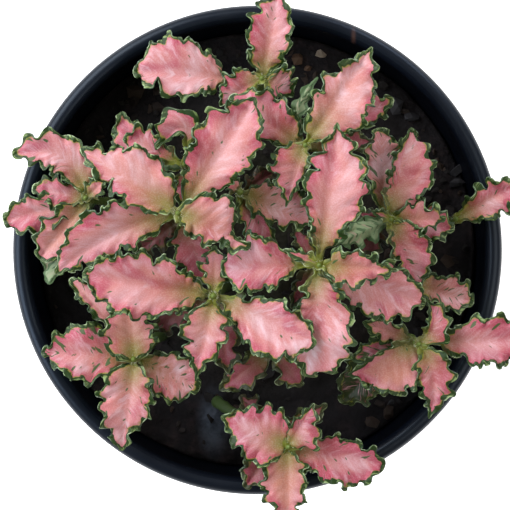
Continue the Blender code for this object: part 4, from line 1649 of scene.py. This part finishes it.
@dataclass
class Pot:
    """The black plastic pot: a turned wall with a rolled lip, a flat floor and drain holes."""

    finishes: Finishes
    height: float = POT_HEIGHT
    rim_radius: float = RIM_RADIUS
    lip_inner_radius: float = 0.0558
    lip_drop: float = 0.011
    lip_step: float = 0.0024
    lip_chamfer: float = 0.0006
    crown: tuple[float, float] = (0.0570, 0.0598)
    base_radius: float = 0.042
    base_chamfer: float = 0.0015
    wall: float = 0.0014
    floor: float = 0.0022
    below_lip: float = 0.001
    sides: int = 180
    base_steps: int = 5
    chamfer_steps: int = 3
    arc_steps: int = 14
    sharp_angle: float = 40
    drains: int = 6
    drain_radius: float = 0.0032
    drain_ring: float = 0.027
    drain_sides: int = 32

    def outer_radius(self, height: float) -> float:
        """The outer wall's radius below the lip, a straight taper.

        Args:
            height: Metres above the underside.

        Returns:
            The radius in metres.
        """
        top = self.rim_radius - self.lip_step
        return self.base_radius + (top - self.base_radius) * height / (self.height - self.lip_drop)

    def quarter(self, radius: float, height: float, size: float, steps: int) -> Outline:
        """The quarter round that leads from an underside out to a wall.

        Args:
            radius: The wall's radius.
            height: The underside's height.
            size: The round's radius.
            steps: Its steps.

        Returns:
            Radius and height of each point.
        """
        turns = [math.pi / 2 * step / steps for step in range(steps + 1)]
        return [
            (radius - size * (1 - math.sin(turn)), height + size * (1 - math.cos(turn))) for turn in turns
        ]

    def profile(self) -> Outline:
        """The wall's outline from the axis underneath, up outside, over the lip and down inside.

        Returns:
            Radius and height of each point.
        """
        lip_radius = (self.rim_radius - self.lip_inner_radius) / 2
        centre_r, centre_z = self.rim_radius - lip_radius, self.height - lip_radius
        drop = self.height - self.lip_drop
        inner_top = centre_z - lip_radius
        turns = [math.pi * step / self.arc_steps for step in range(self.arc_steps + 1)]
        roll = [
            (centre_r + lip_radius * math.cos(turn), centre_z + lip_radius * math.sin(turn)) for turn in turns
        ]
        foot = self.quarter(self.outer_radius(self.base_chamfer), 0, self.base_chamfer, self.base_steps)
        return [
            (0, 0),
            (self.base_radius - self.base_chamfer, 0),
            *foot[1:],
            (self.outer_radius(drop / 2), drop / 2),
            (self.rim_radius - self.lip_step, drop),
            *self.quarter(self.rim_radius, drop, self.lip_chamfer, self.chamfer_steps),
            *roll,
            (self.outer_radius(inner_top) - self.wall, inner_top - self.below_lip),
            (self.outer_radius(self.floor) - self.wall, self.floor),
            (0, self.floor),
        ]

    def on_crown(self, face: bmesh.types.BMFace) -> bool:
        """Tells whether a face is on the lip's crown, which takes the shinier copy of the plastic for a
        painted highlight.

        Args:
            face: A face of the pot.

        Returns:
            True for a face of the crown.
        """
        middle = face.calc_center_median()
        low, high = self.crown
        return middle.z > self.height - self.lip_drop and low < middle.xy.length < high

    def build(self) -> None:
        """Builds the pot and lets it stand for its node."""
        bm = turned(self.profile(), self.sides)
        bmesh.ops.recalc_face_normals(bm, faces=bm.faces)
        for face in bm.faces:
            # painted highlight: the crown's faces take the shinier copy of the plastic
            face.material_index = int(self.on_crown(face))
        pot = object_from(bm, "pot_shell", [self.finishes.plastic, self.finishes.rubbed])
        for index in range(self.drains):
            self.drill(pot, math.tau * index / self.drains)
        pot.data.shade_smooth()
        pot.data.set_sharp_from_angle(angle=math.radians(self.sharp_angle))
        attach(pot, BODY)
        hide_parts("pot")
        report(pot)

    def drill(self, pot: bpy.types.Object, angle: float) -> None:
        """Cuts one drain hole through the floor.

        Args:
            pot: The pot.
            angle: Where on the ring of holes, in radians.
        """
        bm = bmesh.new()
        place = Vector((math.cos(angle), math.sin(angle), 0)) * self.drain_ring
        place.z = self.floor / 2
        bmesh.ops.create_cone(
            bm, cap_ends=True, segments=self.drain_sides, radius1=self.drain_radius,
            radius2=self.drain_radius, depth=self.floor * 4, matrix=Matrix.Translation(place),
        )
        cutter = object_from(bm, "drain_cutter", [])
        cut = pot.modifiers.new("drain", "BOOLEAN")
        cut.operation = "DIFFERENCE"
        cut.object = cutter
        apply_modifiers(pot)
        bpy.data.objects.remove(cutter, do_unlink=True)


@dataclass
class Soil:
    """The potting mix: a lumpy surface inside the pot with bark chips and grit on it."""

    finishes: Finishes
    level: float = SOIL_LEVEL
    gap: float = 0.0003
    edge_gap: float = 0.0005
    mound: float = 0.002
    roughness: float = 0.0016
    clump_height: float = 0.0009
    crumb_height: float = 0.0004
    grain: float = 0.016
    sides: int = 160
    rings: int = 70
    chips: int = 420
    chip_seed: int = 11
    chip_reach: float = 0.97
    chip_sizes: tuple[float, float] = (0.0004, 0.0010)
    large_share: float = 0.16
    chip_tilt: float = 0.5
    chip_lengths: tuple[float, float] = (1, 2.2)
    chip_heights: tuple[float, float] = (0.4, 0.8)
    chip_lift: float = 0.15
    chip_jag: float = 0.34
    seen: tuple[tuple[float, float, float, ChipTone], ...] = (
        (0.0158, 0.0490, 0.0011, ChipTone.PEBBLE),
        (0.0100, 0.0480, 0.0016, ChipTone.WOOD),
        (0.0125, 0.0455, 0.0010, ChipTone.WOOD),
        (0.0350, 0.0362, 0.0019, ChipTone.GREY),
        (0.0385, 0.0335, 0.0014, ChipTone.GREY),
        (0.0510, 0.0205, 0.0017, ChipTone.GREY),
        (0.0500, 0.0170, 0.0012, ChipTone.GREY),
    )

    def height(self, x: float, y: float) -> float:
        """The surface's height at a place, with its clumps and crumbs.

        Args:
            x: Metres.
            y: Metres.

        Returns:
            The height in metres.
        """
        rough = noise.noise(Vector((x, y, 0)) / self.grain)
        rough += 0.5 * noise.noise(Vector((y, x, 1)) / self.grain * 2)
        clumps = noise.noise(Vector((x, y, 3)) / self.grain * 5)
        crumbs = noise.noise(Vector((x, y, 5)) / self.grain * 14)
        spread = math.hypot(x, y) / RIM_RADIUS
        base = self.level + self.mound * (0.5 - spread * spread) + self.roughness * rough
        return base + self.clump_height * clumps + self.crumb_height * crumbs

    def build(self) -> None:
        """Builds the mix and its chips and lets them stand for the node."""
        pot = Pot(self.finishes)
        low = pot.floor + self.gap
        low_radius = pot.outer_radius(low) - pot.wall - self.gap
        top_radius = pot.outer_radius(self.level) - pot.wall - self.edge_gap
        profile = [(0, low), (low_radius, low)]
        profile += [(top_radius * ring / self.rings, self.level) for ring in range(self.rings, -1, -1)]
        bm = turned(profile, self.sides)
        for vert in bm.verts:
            if vert.co.z > self.level - 10 * MERGE_DISTANCE:
                vert.co.z = self.height(vert.co.x, vert.co.y)
        bmesh.ops.recalc_face_normals(bm, faces=bm.faces)
        for face in bm.faces:
            face.smooth = True
        mix = object_from(bm, "soil_mix", [self.finishes.soil])
        for piece in (mix, self.build_chips(top_radius)):
            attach(piece, BODY)
            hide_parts("soil")
            report(piece)

    def build_chips(self, reach: float) -> bpy.types.Object:
        """Scatters small flattened, broken chips that lie half sunk in the surface.

        Args:
            reach: The surface's radius in metres.

        Returns:
            The chips as one object.
        """
        draw = random.Random(self.chip_seed)
        bm = bmesh.new()
        tones = []
        for index in range(self.chips + len(self.seen)):
            angle, out = draw.uniform(0, math.tau), reach * self.chip_reach * math.sqrt(draw.random())
            x, y = out * math.cos(angle), out * math.sin(angle)
            size = draw.uniform(*self.chip_sizes) * (2.0 if draw.random() < self.large_share else 1.0)
            tone = draw.random()
            if index >= self.chips:
                x, y, size, kind = self.seen[index - self.chips]
                tone = kind.value
            turn = Matrix.Rotation(draw.uniform(0, math.tau), 4, "Z")
            tilt = Matrix.Rotation(draw.uniform(-self.chip_tilt, self.chip_tilt), 4, "X")
            long, thick = draw.uniform(*self.chip_lengths), draw.uniform(*self.chip_heights)
            shape = Matrix.Diagonal((size * long, size, size * thick, 1))
            where = Matrix.Translation((x, y, self.height(x, y) + size * self.chip_lift))
            made = bmesh.ops.create_icosphere(
                bm, subdivisions=1, radius=1, matrix=where @ turn @ tilt @ shape,
            )["verts"]
            tones += [tone] * len(made)
            for vert in made:
                vert.co += Vector([draw.uniform(-self.chip_jag, self.chip_jag) * size for _ in range(3)])
        chips = object_from(bm, "soil_chips", [self.finishes.chips])
        store(chips.data, "chip_tone", np.array(tones))
        return chips


@dataclass(frozen=True)
class Lamp:
    """One square soft light: where it hangs and its side in metres, its watts and its colour."""

    name: str
    place: Point
    side: float
    watts: float
    colour: Colour


LAMPS = (
    Lamp("main_light", (-0.50, 0.48, 0.62), 0.60, 6.6, (0.98, 0.985, 1.0)),
    Lamp("side_light", (-0.70, -0.12, 0.58), 0.60, 5.2, (0.80, 0.88, 1.0)),
    Lamp("back_light", (0.40, 0.62, 0.46), 0.34, 1.8, (0.84, 0.88, 1.0)),
    Lamp("fill_light", (0.50, -0.10, 0.85), 0.60, 2.1, (1.0, 0.96, 0.90)),
)


@dataclass
class Studio:
    """The pale floor, the soft lights and the camera straight above."""

    finishes: Finishes
    aim_height: float = POT_HEIGHT
    distance: float = 0.70
    sensor_mm: float = 36.0
    farthest: float = 20.0
    image_side: int = 510
    rim_radius_pixels: float = 244.5
    rim_centre_pixels: tuple[float, float] = (257.5, 250.0)
    rim_edge_height: float = 0.0929
    horizon: Colour = (0.36, 0.355, 0.345)
    zenith: Colour = (0.140, 0.118, 0.092)
    floor_half: float = 3.0
    floor_drop: float = 0.0002

    def build(self) -> None:
        """Sets the floor, the world, the lights, the camera and the plain view transform."""
        self.lay_floor()
        self.light_world()
        for lamp in LAMPS:
            self.hang_light(lamp)
        self.aim_camera()
        bpy.context.scene.view_settings.view_transform = "Standard"

    def lay_floor(self) -> None:
        """A wide flat floor just under the pot."""
        bm = bmesh.new()
        down = Matrix.Translation((0, 0, -self.floor_drop))
        bmesh.ops.create_grid(bm, x_segments=1, y_segments=1, size=self.floor_half, matrix=down)
        floor = object_from(bm, "floor", [self.finishes.floor])

    def light_world(self) -> None:
        """A soft light from all round, nearly white near the horizon, weaker and warmer from above."""
        world = bpy.data.worlds.new("studio_world")
        world.use_nodes = True
        tree = world.node_tree
        direction = tree.nodes.new("ShaderNodeSeparateXYZ")
        fade = tree.nodes.new("ShaderNodeMix")
        fade.data_type = "RGBA"
        fade.inputs[6].default_value = (*self.horizon, 1.0)
        fade.inputs[7].default_value = (*self.zenith, 1.0)
        tree.links.new(tree.nodes.new("ShaderNodeTexCoord").outputs["Generated"], direction.inputs[0])
        tree.links.new(direction.outputs["Z"], fade.inputs[0])
        tree.links.new(fade.outputs[2], tree.nodes["Background"].inputs["Color"])
        bpy.context.scene.world = world

    def hang_light(self, lamp: Lamp) -> None:
        """Hangs one light that faces the plant.

        Args:
            lamp: The light's row in the table.
        """
        light = bpy.data.lights.new(lamp.name, "AREA")
        light.size = lamp.side
        light.energy = lamp.watts
        light.color = lamp.colour
        obj = bpy.data.objects.new(lamp.name, light)
        obj.location = lamp.place
        target = Vector((0, 0, self.aim_height))
        obj.rotation_euler = (target - Vector(lamp.place)).to_track_quat("-Z", "Y").to_euler()
        bpy.context.scene.collection.objects.link(obj)

    def aim_camera(self) -> None:
        """Looks straight down, with the rim as wide and as placed as in the picture."""
        metres_per_pixel = RIM_RADIUS / self.rim_radius_pixels
        middle = self.image_side / 2
        camera = bpy.data.cameras.new("camera")
        camera.sensor_width = self.sensor_mm
        camera.lens = camera.sensor_width * self.distance / (self.image_side * metres_per_pixel)
        camera.clip_end = self.farthest
        obj = bpy.data.objects.new("camera", camera)
        obj.location = (
            (middle - self.rim_centre_pixels[0]) * metres_per_pixel,
            (self.rim_centre_pixels[1] - middle) * metres_per_pixel,
            self.rim_edge_height + self.distance,
        )
        bpy.context.scene.collection.objects.link(obj)
        bpy.context.scene.camera = obj


def main() -> None:
    """Builds the studio, the pot, the soil and every leafy stem."""
    logging.basicConfig(level=logging.INFO, format="%(message)s")
    finishes = Finishes()
    Studio(finishes).build()
    Pot(finishes).build()
    Soil(finishes).build()
    for number, stem in enumerate(STEMS, start=1):
        LeafyStem(number, stem, finishes).build()


if __name__ == "__main__":
    main()
